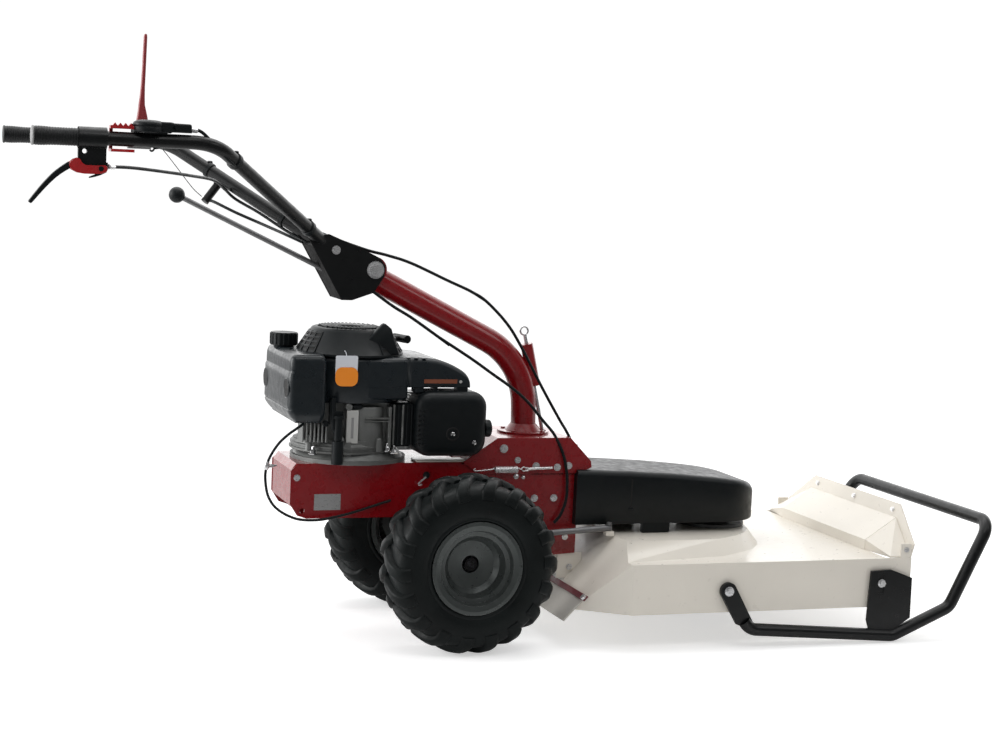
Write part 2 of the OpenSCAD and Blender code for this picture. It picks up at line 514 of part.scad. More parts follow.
module blade_spindle() color([0.6, 0.6, 0.62]) {
  translate([spin_x, 0, 100]) cylinder(r = 15, h = 160.9);
  translate([spin_x, 0, 260.8]) cylinder(r = 12.5, h = 26);
  translate([spin_x, 0, 100]) cylinder(r = 30, h = 18);
  translate([spin_x, 0, 86]) cylinder(r = 9.98, h = 14.1);
  translate([spin_x, 0, 80]) cylinder(r = 15, h = 9.9, $fn = 6);
}
module blade_carrier() color([0.4, 0.4, 0.42]) {
  difference() {
    union() {
      box([spin_x - 32, -165, 92], [spin_x + 32, 165, 99.9]);
      translate([spin_x, 0, 92]) cylinder(r = 80, h = 7.9);
    }
    translate([spin_x, 0, 80]) cylinder(r = 10, h = 30);
  }
  for (s = [-1, 1]) translate([spin_x, s*145, 80]) { cylinder(r = 7, h = 14); translate([0, 0, -5]) cylinder(r = 13, h = 5.1, $fn = 6); }
}
module blade(s) difference() {
  union() {
    translate([spin_x, s*145, 84]) cylinder(r = 20, h = 5);
    box([spin_x - 20, s > 0 ? 145 : -248, 84], [spin_x + 20, s > 0 ? 248 : -145, 89]);
  }
  translate([spin_x, s*145, 80]) cylinder(r = 7.08, h = 20);
}
module blade_a() color([0.5, 0.5, 0.52]) blade(1);
module blade_b() color([0.5, 0.5, 0.52]) blade(-1);
sy = 275;
skid_pts = [[553, -sy, 54], [566, -sy, 37], [888, -sy, 12.5], [1016, -sy, 67], [1100, -sy, 241], [1100, sy, 241], [1016, sy, 67],
            [888, sy, 12.5], [566, sy, 37], [553, sy, 54]];
module skid_bar() color([0.04, 0.04, 0.045]) difference() {
  union() {
    path(skid_pts, 12.5, 34, 10.3);
    for (s = [-1, 1]) {
      cyl_y(skid_piv[0], skid_piv[2], 17, s*sy - 4, s*sy + 4);
      plate_xz([[499, 109], [536, 48], [556, 40], [572, 50], [531, 121]], s*sy - 4, 8);
      plate_xz([[832, 28], [826, 46], [830, 146], [875, 148], [924, 130], [925, 48], [888, 24]], s*sy - 2.5, 5);
    }
  }
  for (s = [-1, 1]) {
    cyl_y(skid_piv[0], skid_piv[2], 4.6, s*sy - 20, s*sy + 20);
    translate([skid_piv[0], s > 0 ? 282 : -268, skid_piv[2]]) rotate([90, 0, 0]) rotate([0, 0, -2.5])
      rotate_extrude(angle = 7) translate([332.5, 0]) square([13, 14]);
  }
}

// ---------- handle ----------
col_pts = [[-152, 0, 694], [169, 0, 535], [174, 0, 405]];
lock_top = [169, 0, 585];
lock_d = unit([25, 0, -103]);
lock_tip = lock_top + lock_d*((585 - 391)/103*106);
module steering_column() color([0.66, 0.03, 0.05]) difference() {
  union() {
    path(col_pts, 25, 150);
    cyl_y(piv[0], piv[2], 25, -36, 36);
    translate([col_x, 0, 394.3]) cylinder(r1 = 36, r2 = 26, h = 14);
    along(lock_top + lock_d*18, lock_d) cylinder(r = 12.5, h = 86);
  }
  difference() { path(col_pts, 22, 150); cyl_y(piv[0], piv[2], 25, -36, 36); translate([col_x, 0, 380]) cylinder(r = 30, h = 72); }
  translate([col_x, 0, 390]) cylinder(r = 15.06, h = 60);
  cyl_y(piv[0], piv[2], 8.06, -50, 50);
  along(lock_top, lock_d) cylinder(r = 5.1, h = 220);
}
module column_lock_pin() color([0.7, 0.7, 0.72]) {
  along(lock_top - lock_d*2, lock_d) cylinder(r = 4, h = norm(lock_tip - lock_top) + 2);
  translate(lock_top - lock_d*9) rotate([90, 0, 0]) rotate_extrude() translate([8, 0]) circle(r = 2.2);
}
br_pts = [[-292, 768], [-252, 776], [-182, 748], [-150, 733], [-138, 718], [-140, 698], [-160, 666], [-202, 651], [-223, 651]];
bar_pts = [[-262, -31, 762], [-515, -grip_y, grip_z], [-824, -grip_y, grip_z]];
module bars(r, ri = 0) for (s = [0, 1]) mirror([0, s, 0]) path(bar_pts, r, 90, ri);
module handle_bracket() color([0.03, 0.03, 0.035]) {
  difference() {
    for (s = [-1, 1]) plate_xz(br_pts, s > 0 ? 40 : -44, 4);
    for (s = [0, 1]) mirror([0, s, 0]) rod(bar_pts[0], bar_pts[1], bar_r + 0.1);
    cyl_y(-158, 710, 8.1, -60, 60);
    cyl_y(-237, 746, 4.1, -60, 60);
  }
  difference() {
    plate_xz([[-222, 651], [-217, 654], [-276, 756], [-282, 753]], -40.1, 80.2);
    along([-535, 0, 838], [257, 0, -118]) cylinder(r = 5.2, h = 400);
    for (s = [0, 1]) mirror([0, s, 0]) rod(bar_pts[0], bar_pts[1], bar_r + 0.1);
  }
  for (s = [-1, 1]) {
    bolt([-158, s*44, 710], [0, s, 0], 16, 52*0 + 1);
    bolt([-237, s*44, 746], [0, s, 0], 8, 1);
  }
  cyl_y(-158, 710, 8, -44.1, 44.1);
  cyl_y(-237, 746, 4, -44.1, 44.1);
}
module handlebar() color([0.04, 0.04, 0.045]) bars(bar_r, bar_r - 2);
module grips() color([0.05, 0.05, 0.055]) for (s = [0, 1]) mirror([0, s, 0]) difference() {
  union() {
    cyl_x(-grip_y, grip_z, 16, -829, -709);
    cyl_x(-grip_y, grip_z, 18, -715, -709);
  }
  cyl_x(-grip_y, grip_z, bar_r + 0.02, -824.2, -700);
}
module throttle_housing() color([0.05, 0.05, 0.06]) difference() {
  union() {
    cyl_x(-grip_y, grip_z, 17, -652, -604);
    box([-625, -grip_y - 20, grip_z + 13], [-559, -grip_y + 20, grip_z + 32]);
    translate([-632, -grip_y, grip_z + 13]) cylinder(r = 26, h = 23);
  }
  cyl_x(-grip_y, grip_z, bar_r + 0.05, -700, -500);
  difference() { translate([-632, -grip_y, grip_z + 17]) cylinder(r = 30, h = 8); translate([-632, -grip_y, grip_z + 10]) cylinder(r = 14, h = 20); box([-625, -grip_y - 40, grip_z + 10], [-500, -grip_y + 40, grip_z + 30]); }
}
module throttle_lever() color([0.62, 0.04, 0.05]) {
  difference() {
    translate([-632, -grip_y, grip_z + 17.5]) cylinder(r = 23, h = 7);
    translate([-632, -grip_y, grip_z + 10]) cylinder(r = 14.2, h = 20);
    box([-628, -grip_y - 40, grip_z + 10], [-500, -grip_y + 40, grip_z + 30]);
    translate([-632, -grip_y, grip_z + 10]) rotate([0, 0, 25]) translate([4, -40, 0]) cube([60, 80, 20]);
  }
  box([-698, -grip_y - 8, grip_z + 17.5], [-650, -grip_y + 8, grip_z + 23]);
  for (i = [0:3]) plate_xz([[-694 + 9*i, grip_z + 22.9], [-690 + 9*i, grip_z + 28], [-686 + 9*i, grip_z + 22.9]], -grip_y - 8, 16);
  box([-696, -grip_y + 18, grip_z - 20], [-690, -grip_y + 23, grip_z + 23]);
  box([-696, -grip_y + 7, grip_z + 17.5], [-684, -grip_y + 23, grip_z + 23]);
  box([-696, -grip_y - 8, grip_z - 22], [-656, -grip_y + 23, grip_z - 17]);
}
module safety_lever() color([0.66, 0.05, 0.07]) difference() {
  union() {
    plate_xz([[-573, grip_z + 20], [-556, grip_z + 20], [-552, 1060], [-555, 1144], [-559, 1144], [-565, 1060]], grip_y - 9, 18);
    cyl_y(-566, grip_z + 23, 8.5, grip_y - 9, grip_y + 9);
  }
  cyl_y(-566, grip_z + 23, 3.1, grip_y - 20, grip_y + 20);
}
cl_p = [-712, -grip_y, 884];
module clutch_lever() {
  color([0.66, 0.04, 0.05]) difference() {
    plate_xz([[-768, 884], [-764, 896], [-752, 900], [-740, 891], [-716, 893], [-702, 892], [-699, 882], [-706, 874], [-722, 872], [-748, 872]], -grip_y - 9, 18);
    box([-763, -grip_y - 5, 860], [-690, -grip_y + 5, 910]);
    cyl_y(cl_p[0], cl_p[2], 3.6, -grip_y - 20, -grip_y + 20);
  }
  color([0.03, 0.03, 0.035]) plate_xz([[-764, 894], [-768, 884], [-796, 860], [-832, 823], [-828, 829], [-794, 866], [-770, 893]], -grip_y - 7, 14);
}
module lever_brackets() color([0.03, 0.03, 0.035]) {
  difference() {
    union() {
      box([-751, -grip_y - 4, 893], [-703, -grip_y + 4, 922]);
      cyl_x(-grip_y, grip_z, 18.5, -751, -703);
      plate_xz([[-745, 895], [-700, 895], [-702, 880], [-712, 876], [-735, 885]], -grip_y - 4, 8);
    }
    cyl_x(-grip_y, grip_z, 18.3, -760, -690);
    cyl_y(-740, 913, 4, -grip_y - 20, -grip_y + 20);
  }
  cyl_y(cl_p[0], cl_p[2], 3.5, -grip_y - 11, -grip_y + 11);
  difference() {
    union() {
      cyl_x(grip_y, grip_z, 17, -590, -545);
      for (s = [-1, 1]) box([-582, grip_y + s*13 - 2, grip_z], [-550, grip_y + s*13 + 2, grip_z + 32]);
    }
    cyl_x(grip_y, grip_z, bar_r + 0.05, -600, -530);
    box([-600, grip_y - 10.9, grip_z + 13], [-530, grip_y + 10.9, grip_z + 50]);
  }
  cyl_y(-566, grip_z + 23, 3, grip_y - 15, grip_y + 15);
  difference() { rod([-416, 178, 866], [-450, 170, 822], 8); rod([-457, 168, 826], [-400, 100, 790], 3.2); }
}
module height_lock_rod() color([0.45, 0.46, 0.48]) {
  rod([-522, 0, 832], [-186, 0, 677.7], 5);
  translate([-535, 0, 838]) sphere(r = 15);
}

// ---------- cables ----------
module cables_handle() color([0.03, 0.03, 0.035]) {
  path([[-558.9, -grip_y, grip_z + 24], [-528, -250, grip_z + 22], [-300, -66, 808]], 3, 30);
  path([[-698, -grip_y, 883], [-440, 110, 850], [-300, 22, 764]], 3, 50);
  rod([-563, grip_y, 917], [-457, 168, 826], 1);
  path([[-457, 168, 826], [-400, 100, 790], [-296, 0, 742]], 3, 50);
}
module cables_chassis() color([0.03, 0.03, 0.035]) {
  path([[-276, -98, 386], [-330, -98, 384], [-366, -98, 330], [-345, -98, 262], [-290, -90, 236], [-170, -90, 250]], 3, 20);
  path([[262, -102, 312], [264, -102, 250], [236, -97, 214]], 3, 20);
}

main_frame();
column_saddle();
data_plate();
swivel_base();
frame_bolts();
gearbox_housing();
engine_block();
muffler();
carburettor();
air_filter_box();
blower_shroud();
recoil_cover();
fuel_tank();
hang_tag();
fuel_cap();
dipstick();
starter_handle();
crankshaft();
flywheel();
engine_pulley();
worm_shaft();
gearbox_pulley();
axle();
worm_wheel();
rim_left();
rim_right();
tyre_left();
tyre_right();
wheel_bolts();
drive_belt();
deck_belt();
idler_arm();
tension_spring();
spindle_housing();
blade_spindle();
spindle_pulley();
blade_carrier();
blade_a();
blade_b();
deck_shell();
front_hood();
deck_bolts();
deflector_flap();
flap_strap();
belt_cover();
stay_rod();
skid_bar();
steering_column();
column_lock_pin();
handle_bracket();
handlebar();
grips();
throttle_housing();
throttle_lever();
safety_lever();
clutch_lever();
lever_brackets();
height_lock_rod();
cables_handle();
cables_chassis();
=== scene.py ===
import bpy
import bmesh
import json
import math
from mathutils import Matrix, Vector
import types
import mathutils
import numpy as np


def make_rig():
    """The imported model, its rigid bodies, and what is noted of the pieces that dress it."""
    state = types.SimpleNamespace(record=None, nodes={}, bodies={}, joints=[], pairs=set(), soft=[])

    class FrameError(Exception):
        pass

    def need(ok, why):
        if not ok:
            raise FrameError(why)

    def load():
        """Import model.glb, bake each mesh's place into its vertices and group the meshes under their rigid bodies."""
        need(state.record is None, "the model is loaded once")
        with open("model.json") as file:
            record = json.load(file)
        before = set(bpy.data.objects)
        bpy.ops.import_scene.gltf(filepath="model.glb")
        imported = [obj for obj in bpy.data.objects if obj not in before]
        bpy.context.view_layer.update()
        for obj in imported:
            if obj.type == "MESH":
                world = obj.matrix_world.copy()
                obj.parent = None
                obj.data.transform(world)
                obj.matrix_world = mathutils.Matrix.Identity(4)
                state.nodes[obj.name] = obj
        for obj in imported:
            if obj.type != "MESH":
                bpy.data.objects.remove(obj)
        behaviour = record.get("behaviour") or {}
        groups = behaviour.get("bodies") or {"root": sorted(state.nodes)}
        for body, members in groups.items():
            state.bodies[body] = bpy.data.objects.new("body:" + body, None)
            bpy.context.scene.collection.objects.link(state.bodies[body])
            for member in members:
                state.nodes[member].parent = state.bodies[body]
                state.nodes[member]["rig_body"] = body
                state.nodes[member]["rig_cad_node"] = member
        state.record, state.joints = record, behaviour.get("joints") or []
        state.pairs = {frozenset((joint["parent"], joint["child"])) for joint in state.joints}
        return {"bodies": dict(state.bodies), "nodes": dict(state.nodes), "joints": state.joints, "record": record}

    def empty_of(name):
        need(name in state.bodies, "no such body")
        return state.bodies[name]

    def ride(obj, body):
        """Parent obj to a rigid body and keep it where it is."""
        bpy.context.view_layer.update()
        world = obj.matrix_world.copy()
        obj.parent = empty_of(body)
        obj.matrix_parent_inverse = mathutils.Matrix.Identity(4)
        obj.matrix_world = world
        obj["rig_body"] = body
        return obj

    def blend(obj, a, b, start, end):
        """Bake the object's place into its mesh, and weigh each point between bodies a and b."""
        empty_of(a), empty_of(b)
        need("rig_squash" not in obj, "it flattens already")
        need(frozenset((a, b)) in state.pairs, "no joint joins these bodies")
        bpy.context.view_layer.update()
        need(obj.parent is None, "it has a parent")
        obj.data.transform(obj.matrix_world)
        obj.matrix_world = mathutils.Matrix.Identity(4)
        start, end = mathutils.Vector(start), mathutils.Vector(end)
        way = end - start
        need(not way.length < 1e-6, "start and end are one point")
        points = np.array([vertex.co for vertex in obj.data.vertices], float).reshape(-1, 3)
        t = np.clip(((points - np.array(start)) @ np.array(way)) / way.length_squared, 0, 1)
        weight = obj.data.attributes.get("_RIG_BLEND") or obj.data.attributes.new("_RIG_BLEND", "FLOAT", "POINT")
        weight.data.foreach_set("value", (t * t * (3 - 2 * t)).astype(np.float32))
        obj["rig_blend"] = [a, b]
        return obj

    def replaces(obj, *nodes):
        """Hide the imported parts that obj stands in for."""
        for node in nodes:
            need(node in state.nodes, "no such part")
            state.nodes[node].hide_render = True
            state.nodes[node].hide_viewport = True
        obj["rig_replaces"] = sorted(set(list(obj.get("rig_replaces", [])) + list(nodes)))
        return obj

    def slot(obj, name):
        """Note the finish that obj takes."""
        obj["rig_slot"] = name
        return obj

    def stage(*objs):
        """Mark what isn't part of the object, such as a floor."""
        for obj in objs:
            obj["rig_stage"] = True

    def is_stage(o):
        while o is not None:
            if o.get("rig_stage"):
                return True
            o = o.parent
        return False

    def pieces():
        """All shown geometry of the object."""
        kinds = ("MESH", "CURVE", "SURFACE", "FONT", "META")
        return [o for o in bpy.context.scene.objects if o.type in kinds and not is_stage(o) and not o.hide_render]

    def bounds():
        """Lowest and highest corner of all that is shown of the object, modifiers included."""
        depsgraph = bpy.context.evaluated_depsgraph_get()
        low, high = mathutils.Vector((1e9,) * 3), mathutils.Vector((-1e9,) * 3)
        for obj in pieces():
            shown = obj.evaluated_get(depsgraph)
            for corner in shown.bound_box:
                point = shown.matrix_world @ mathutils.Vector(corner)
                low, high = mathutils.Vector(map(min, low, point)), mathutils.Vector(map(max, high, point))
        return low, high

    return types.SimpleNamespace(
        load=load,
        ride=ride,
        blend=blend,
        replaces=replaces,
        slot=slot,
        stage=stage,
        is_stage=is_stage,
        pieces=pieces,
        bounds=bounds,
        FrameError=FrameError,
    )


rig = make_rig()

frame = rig.load()
N = frame["nodes"]
cad_lo, cad_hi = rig.bounds()
MM = 0.001
SLOT = {p["node"]: p["material_slot"] for p in frame["record"]["subparts"]}


# ------------------------------------------------------------------ materials
def material(name, col, rough, metal=0.0, coat=0.0, grain=900.0, grain_d=0.03, vary=0.1, rvary=0.1,
             edge=None, blotch=7.0, peel=None, spec=0.5, streak=None):
    """Procedural surface: blotchy colour, uneven roughness, fine grain, optional orange peel, edge wear and machining streaks."""
    m = bpy.data.materials.new(name)
    m.use_nodes = True
    nt = m.node_tree
    nt.nodes.clear()
    link = nt.links.new
    out = nt.nodes.new("ShaderNodeOutputMaterial")
    b = nt.nodes.new("ShaderNodeBsdfPrincipled")
    link(b.outputs[0], out.inputs[0])
    tc = nt.nodes.new("ShaderNodeTexCoord")

    def noise(scale, detail=3.0, stretch=None):
        n = nt.nodes.new("ShaderNodeTexNoise")
        n.inputs["Scale"].default_value = scale
        n.inputs["Detail"].default_value = detail
        if stretch:
            mp = nt.nodes.new("ShaderNodeMapping")
            mp.inputs["Scale"].default_value = stretch
            link(tc.outputs["Object"], mp.inputs["Vector"])
            link(mp.outputs[0], n.inputs["Vector"])
        else:
            link(tc.outputs["Object"], n.inputs["Vector"])
        return n.outputs["Fac"]

    def remap(src, lo, hi, a=0.3, c=0.7):
        r = nt.nodes.new("ShaderNodeMapRange")
        r.inputs["From Min"].default_value = a
        r.inputs["From Max"].default_value = c
        r.inputs["To Min"].default_value = lo
        r.inputs["To Max"].default_value = hi
        link(src, r.inputs["Value"])
        return r.outputs[0]

    big, mid = noise(blotch, 4.0), noise(70.0, 5.0)
    hsv = nt.nodes.new("ShaderNodeHueSaturation")
    hsv.inputs["Color"].default_value = (*col, 1)
    link(remap(big, 1 - vary, 1 + vary), hsv.inputs["Value"])
    colour = hsv.outputs[0]
    rough_out = remap(mid, max(0.02, rough - rvary), min(1.0, rough + rvary))
    if streak:
        rough_out = remap(noise(streak[0], 2.0, streak[1]), max(0.03, rough - rvary), min(1, rough + rvary))
    if edge:
        bev = nt.nodes.new("ShaderNodeBevel")
        bev.samples = 2
        bev.inputs["Radius"].default_value = 0.0014
        geo = nt.nodes.new("ShaderNodeNewGeometry")
        dot = nt.nodes.new("ShaderNodeVectorMath")
        dot.operation = "DOT_PRODUCT"
        link(bev.outputs[0], dot.inputs[0])
        link(geo.outputs["Normal"], dot.inputs[1])
        away = remap(dot.outputs["Value"], 1.0, 0.0, 0.75, 0.98)
        gate = nt.nodes.new("ShaderNodeMath")
        gate.operation = "MULTIPLY"
        link(away, gate.inputs[0])
        link(remap(noise(45.0, 4.0), 0.0, 0.75, 0.45, 0.68), gate.inputs[1])
        mix = nt.nodes.new("ShaderNodeMix")
        mix.data_type = "RGBA"
        link(gate.outputs[0], mix.inputs["Factor"])
        link(colour, mix.inputs[6])
        mix.inputs[7].default_value = (*edge, 1)
        colour = mix.outputs[2]
    link(colour, b.inputs["Base Color"])
    link(rough_out, b.inputs["Roughness"])
    b.inputs["Metallic"].default_value = metal
    b.inputs["Coat Weight"].default_value = coat
    b.inputs["Coat Roughness"].default_value = 0.06
    b.inputs["Specular IOR Level"].default_value = spec
    bump = nt.nodes.new("ShaderNodeBump")
    bump.inputs["Strength"].default_value = 0.5
    bump.inputs["Distance"].default_value = grain_d * MM
    link(noise(grain, 2.0), bump.inputs["Height"])
    last = bump
    if peel:
        second = nt.nodes.new("ShaderNodeBump")
        second.inputs["Strength"].default_value = 0.6
        second.inputs["Distance"].default_value = peel[1] * MM
        link(noise(peel[0], 2.0), second.inputs["Height"])
        link(bump.outputs[0], second.inputs["Normal"])
        last = second
    link(last.outputs[0], b.inputs["Normal"])
    return m


MATS = {
    "red_paint": material("red_paint", (0.215, 0.003, 0.006), 0.30, coat=0.5, grain=1400, grain_d=0.004, vary=0.08,
                          peel=(150, 0.03), edge=(0.16, 0.05, 0.045), spec=0.4),
    "cream_paint": material("cream_paint", (0.80, 0.755, 0.675), 0.36, coat=0.2, grain=1400, grain_d=0.004, vary=0.035,
                            peel=(150, 0.04), edge=None),
    "black_paint": material("black_paint", (0.0050, 0.0056, 0.0060), 0.36, spec=0.3, coat=0.08, grain=1500, grain_d=0.02, vary=0.2,
                            peel=(240, 0.03), edge=(0.07, 0.07, 0.07)),
    "black_plastic": material("black_plastic", (0.0055, 0.0075, 0.0085), 0.42, grain=1500, grain_d=0.015, vary=0.15, spec=0.24),
    "tank_plastic": material("tank_plastic", (0.0085, 0.0125, 0.0155), 0.34, grain=1300, grain_d=0.015, vary=0.12, coat=0.12, spec=0.4),
    "red_plastic": material("red_plastic", (0.36, 0.008, 0.011), 0.3, grain=1100, grain_d=0.02, coat=0.3, vary=0.08),
    "orange_plastic": material("orange_plastic", (0.80, 0.235, 0.008), 0.4, grain=900, grain_d=0.02, vary=0.06),
    "cast_alu": material("cast_alu", (0.17, 0.175, 0.17), 0.50, metal=0.6, grain=600, grain_d=0.16, vary=0.18, blotch=18,
                         edge=(0.7, 0.7, 0.69)),
    "rim_paint": material("rim_paint", (0.062, 0.070, 0.068), 0.34, metal=0.5, coat=0.2, grain=1200, grain_d=0.03, vary=0.10,
                          edge=(0.4, 0.4, 0.4), peel=(220, 0.03)),
    "tyre_rubber": material("tyre_rubber", (0.0065, 0.0085, 0.0085), 0.44, grain=420, grain_d=0.10, vary=0.25, rvary=0.12,
                            blotch=14, spec=0.15),
    "grip_rubber": material("grip_rubber", (0.0075, 0.0085, 0.009), 0.5, grain=700, grain_d=0.08, vary=0.2, spec=0.3),
    "flap_rubber": material("flap_rubber", (0.50, 0.48, 0.44), 0.55, grain=500, grain_d=0.08, vary=0.08),
    "belt_rubber": material("belt_rubber", (0.02, 0.02, 0.022), 0.6, grain=600, grain_d=0.1, vary=0.2),
    "zinc": material("zinc", (0.80, 0.80, 0.81), 0.30, metal=0.85, grain=900, grain_d=0.02, vary=0.14, blotch=60,
                     streak=(90, (1, 1, 9))),
    "steel": material("steel", (0.42, 0.42, 0.43), 0.32, metal=1.0, grain=900, grain_d=0.02, vary=0.14, blotch=30,
                      streak=(80, (9, 1, 1))),
    "cast_housing": material("cast_housing", (0.11, 0.115, 0.118), 0.5, metal=0.3, grain=500, grain_d=0.16, vary=0.15),
    "bronze": material("bronze", (0.55, 0.33, 0.12), 0.32, metal=1.0, grain=700, grain_d=0.03, vary=0.12),
    "plate_alu": material("plate_alu", (0.50, 0.50, 0.50), 0.34, metal=0.8, grain=900, grain_d=0.02, vary=0.08,
                          streak=(120, (1, 1, 14))),
}
PAPER = material("tag_paper", (0.60, 0.62, 0.66), 0.5, grain=900, grain_d=0.02, vary=0.04)
# Near-black matt material used as painted shade: it lines slots, wells, recesses and grooves where only shade is seen.
PAINTED_SHADE = material("painted_shade_gap", (0.003, 0.003, 0.003), 0.75, grain=500, grain_d=0.1, vary=0.3)
STRIPE = material("brown_stripe", (0.20, 0.055, 0.022), 0.45, grain=900, grain_d=0.03, vary=0.12)
REDLEVER = material("lever_red", (0.24, 0.022, 0.026), 0.42, grain=900, grain_d=0.03, vary=0.1)
LIGHTCOAT = material("white_ferrule", (0.72, 0.72, 0.70), 0.4, grain=900, grain_d=0.02, vary=0.06)
GREYPLASTIC = material("grey_plastic", (0.22, 0.22, 0.22), 0.45, grain=900, grain_d=0.04, vary=0.1)
BLACKMATT = material("black_matt", (0.006, 0.006, 0.006), 0.75, grain=700, grain_d=0.05, vary=0.2, spec=0.15)
DULLSTEEL = material("dull_steel", (0.20, 0.20, 0.205), 0.5, metal=0.7, grain=700, grain_d=0.08, vary=0.2)
CHROME = material("chrome", (0.78, 0.78, 0.79), 0.12, metal=1.0, grain=900, grain_d=0.01, vary=0.08, rvary=0.05)
LABEL = material("blank_label", (0.40, 0.40, 0.385), 0.38, grain=900, grain_d=0.02, vary=0.06)
STRAP = material("strap_red", (0.11, 0.006, 0.012), 0.42, grain=600, grain_d=0.08, vary=0.18)

for name, o in N.items():
    o.data.materials.clear()
    o.data.materials.append(MATS[SLOT[name]])
    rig.slot(o, SLOT[name])
N["flap_strap"].data.materials.clear()
N["flap_strap"].data.materials.append(STRAP)


def facemat(node, mat, test):
    """Faces of a CAD node whose middle passes the test take another material. The mesh itself stays as packed."""
    me = N[node].data
    me.materials.append(mat)
    k = len(me.materials) - 1
    for p in me.polygons:
        if test(p.center / MM):
            p.material_index = k


facemat("height_lock_rod", MATS["black_plastic"], lambda c: c.x < -521.5)
facemat("stay_rod", MATS["cream_paint"], lambda c: c.x > 317 and c.z < 206.5)
facemat("handle_bracket", MATS["zinc"], lambda c: abs(c.y) > 44.06 or (abs(c.y) < 39.9 and ((c.x + 158) ** 2 + (c.z - 710) ** 2 < 81)))
facemat("clutch_lever", MATS["black_paint"], lambda c: c.x < -764.5 and c.z < 894)
for nm in ("height_lock_rod", "stay_rod"):
    N[nm].data.materials[0] = DULLSTEEL
facemat("axle", BLACKMATT, lambda c: abs(c.y) > 221.5)
facemat("engine_block", MATS["black_plastic"], lambda c: (c.x + 236) ** 2 + (c.y + 103) ** 2 < 150 and c.z > 352)
me = N["handle_bracket"].data
me.materials.append(BLACKMATT)
for p in me.polygons:
    if p.normal.x < -0.5 and p.material_index == 0:
        p.material_index = len(me.materials) - 1


# ------------------------------------------------------------------ mesh tools
def soften(node, width, seg=2, angle=32, flat=True):
    """Rounds the sharp edges of a CAD node with modifiers."""
    o = N[node]
    me = o.data
    with bpy.context.temp_override(object=o, active_object=o):
        try:
            bpy.ops.mesh.customdata_custom_splitnormals_clear()
        except RuntimeError:
            pass
    m = o.modifiers.new("weld", "WELD")
    m.merge_threshold = 2e-5
    if flat:
        d = o.modifiers.new("flat", "DECIMATE")
        d.decimate_type = "DISSOLVE"
        d.angle_limit = math.radians(1.2)
    b = o.modifiers.new("bevel", "BEVEL")
    b.width = width * MM
    b.segments = seg
    b.limit_method = "ANGLE"
    b.angle_limit = math.radians(angle)
    b.use_clamp_overlap = True
    b.harden_normals = False
    b.miter_outer = "MITER_ARC"
    w = o.modifiers.new("normals", "WEIGHTED_NORMAL")
    w.keep_sharp = False
    w.weight = 60
    for p in me.polygons:
        p.use_smooth = True


def new_object(name, verts, faces, mats, body, slot=None, smooth=40, unit=MM):
    me = bpy.data.meshes.new(name)
    me.from_pydata([Vector(v) * unit for v in verts], [], faces)
    me.validate()
    bm = bmesh.new()
    bm.from_mesh(me)
    bmesh.ops.recalc_face_normals(bm, faces=bm.faces[:])
    bm.to_mesh(me)
    bm.free()
    for m in mats if isinstance(mats, (list, tuple)) else [mats]:
        me.materials.append(m)
    for p in me.polygons:
        p.use_smooth = True
    if smooth:
        me.set_sharp_from_angle(angle=math.radians(smooth))
    o = bpy.data.objects.new(name, me)
    bpy.context.scene.collection.objects.link(o)
    if body:
        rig.ride(o, body)
    if slot:
        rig.slot(o, slot)
    return o


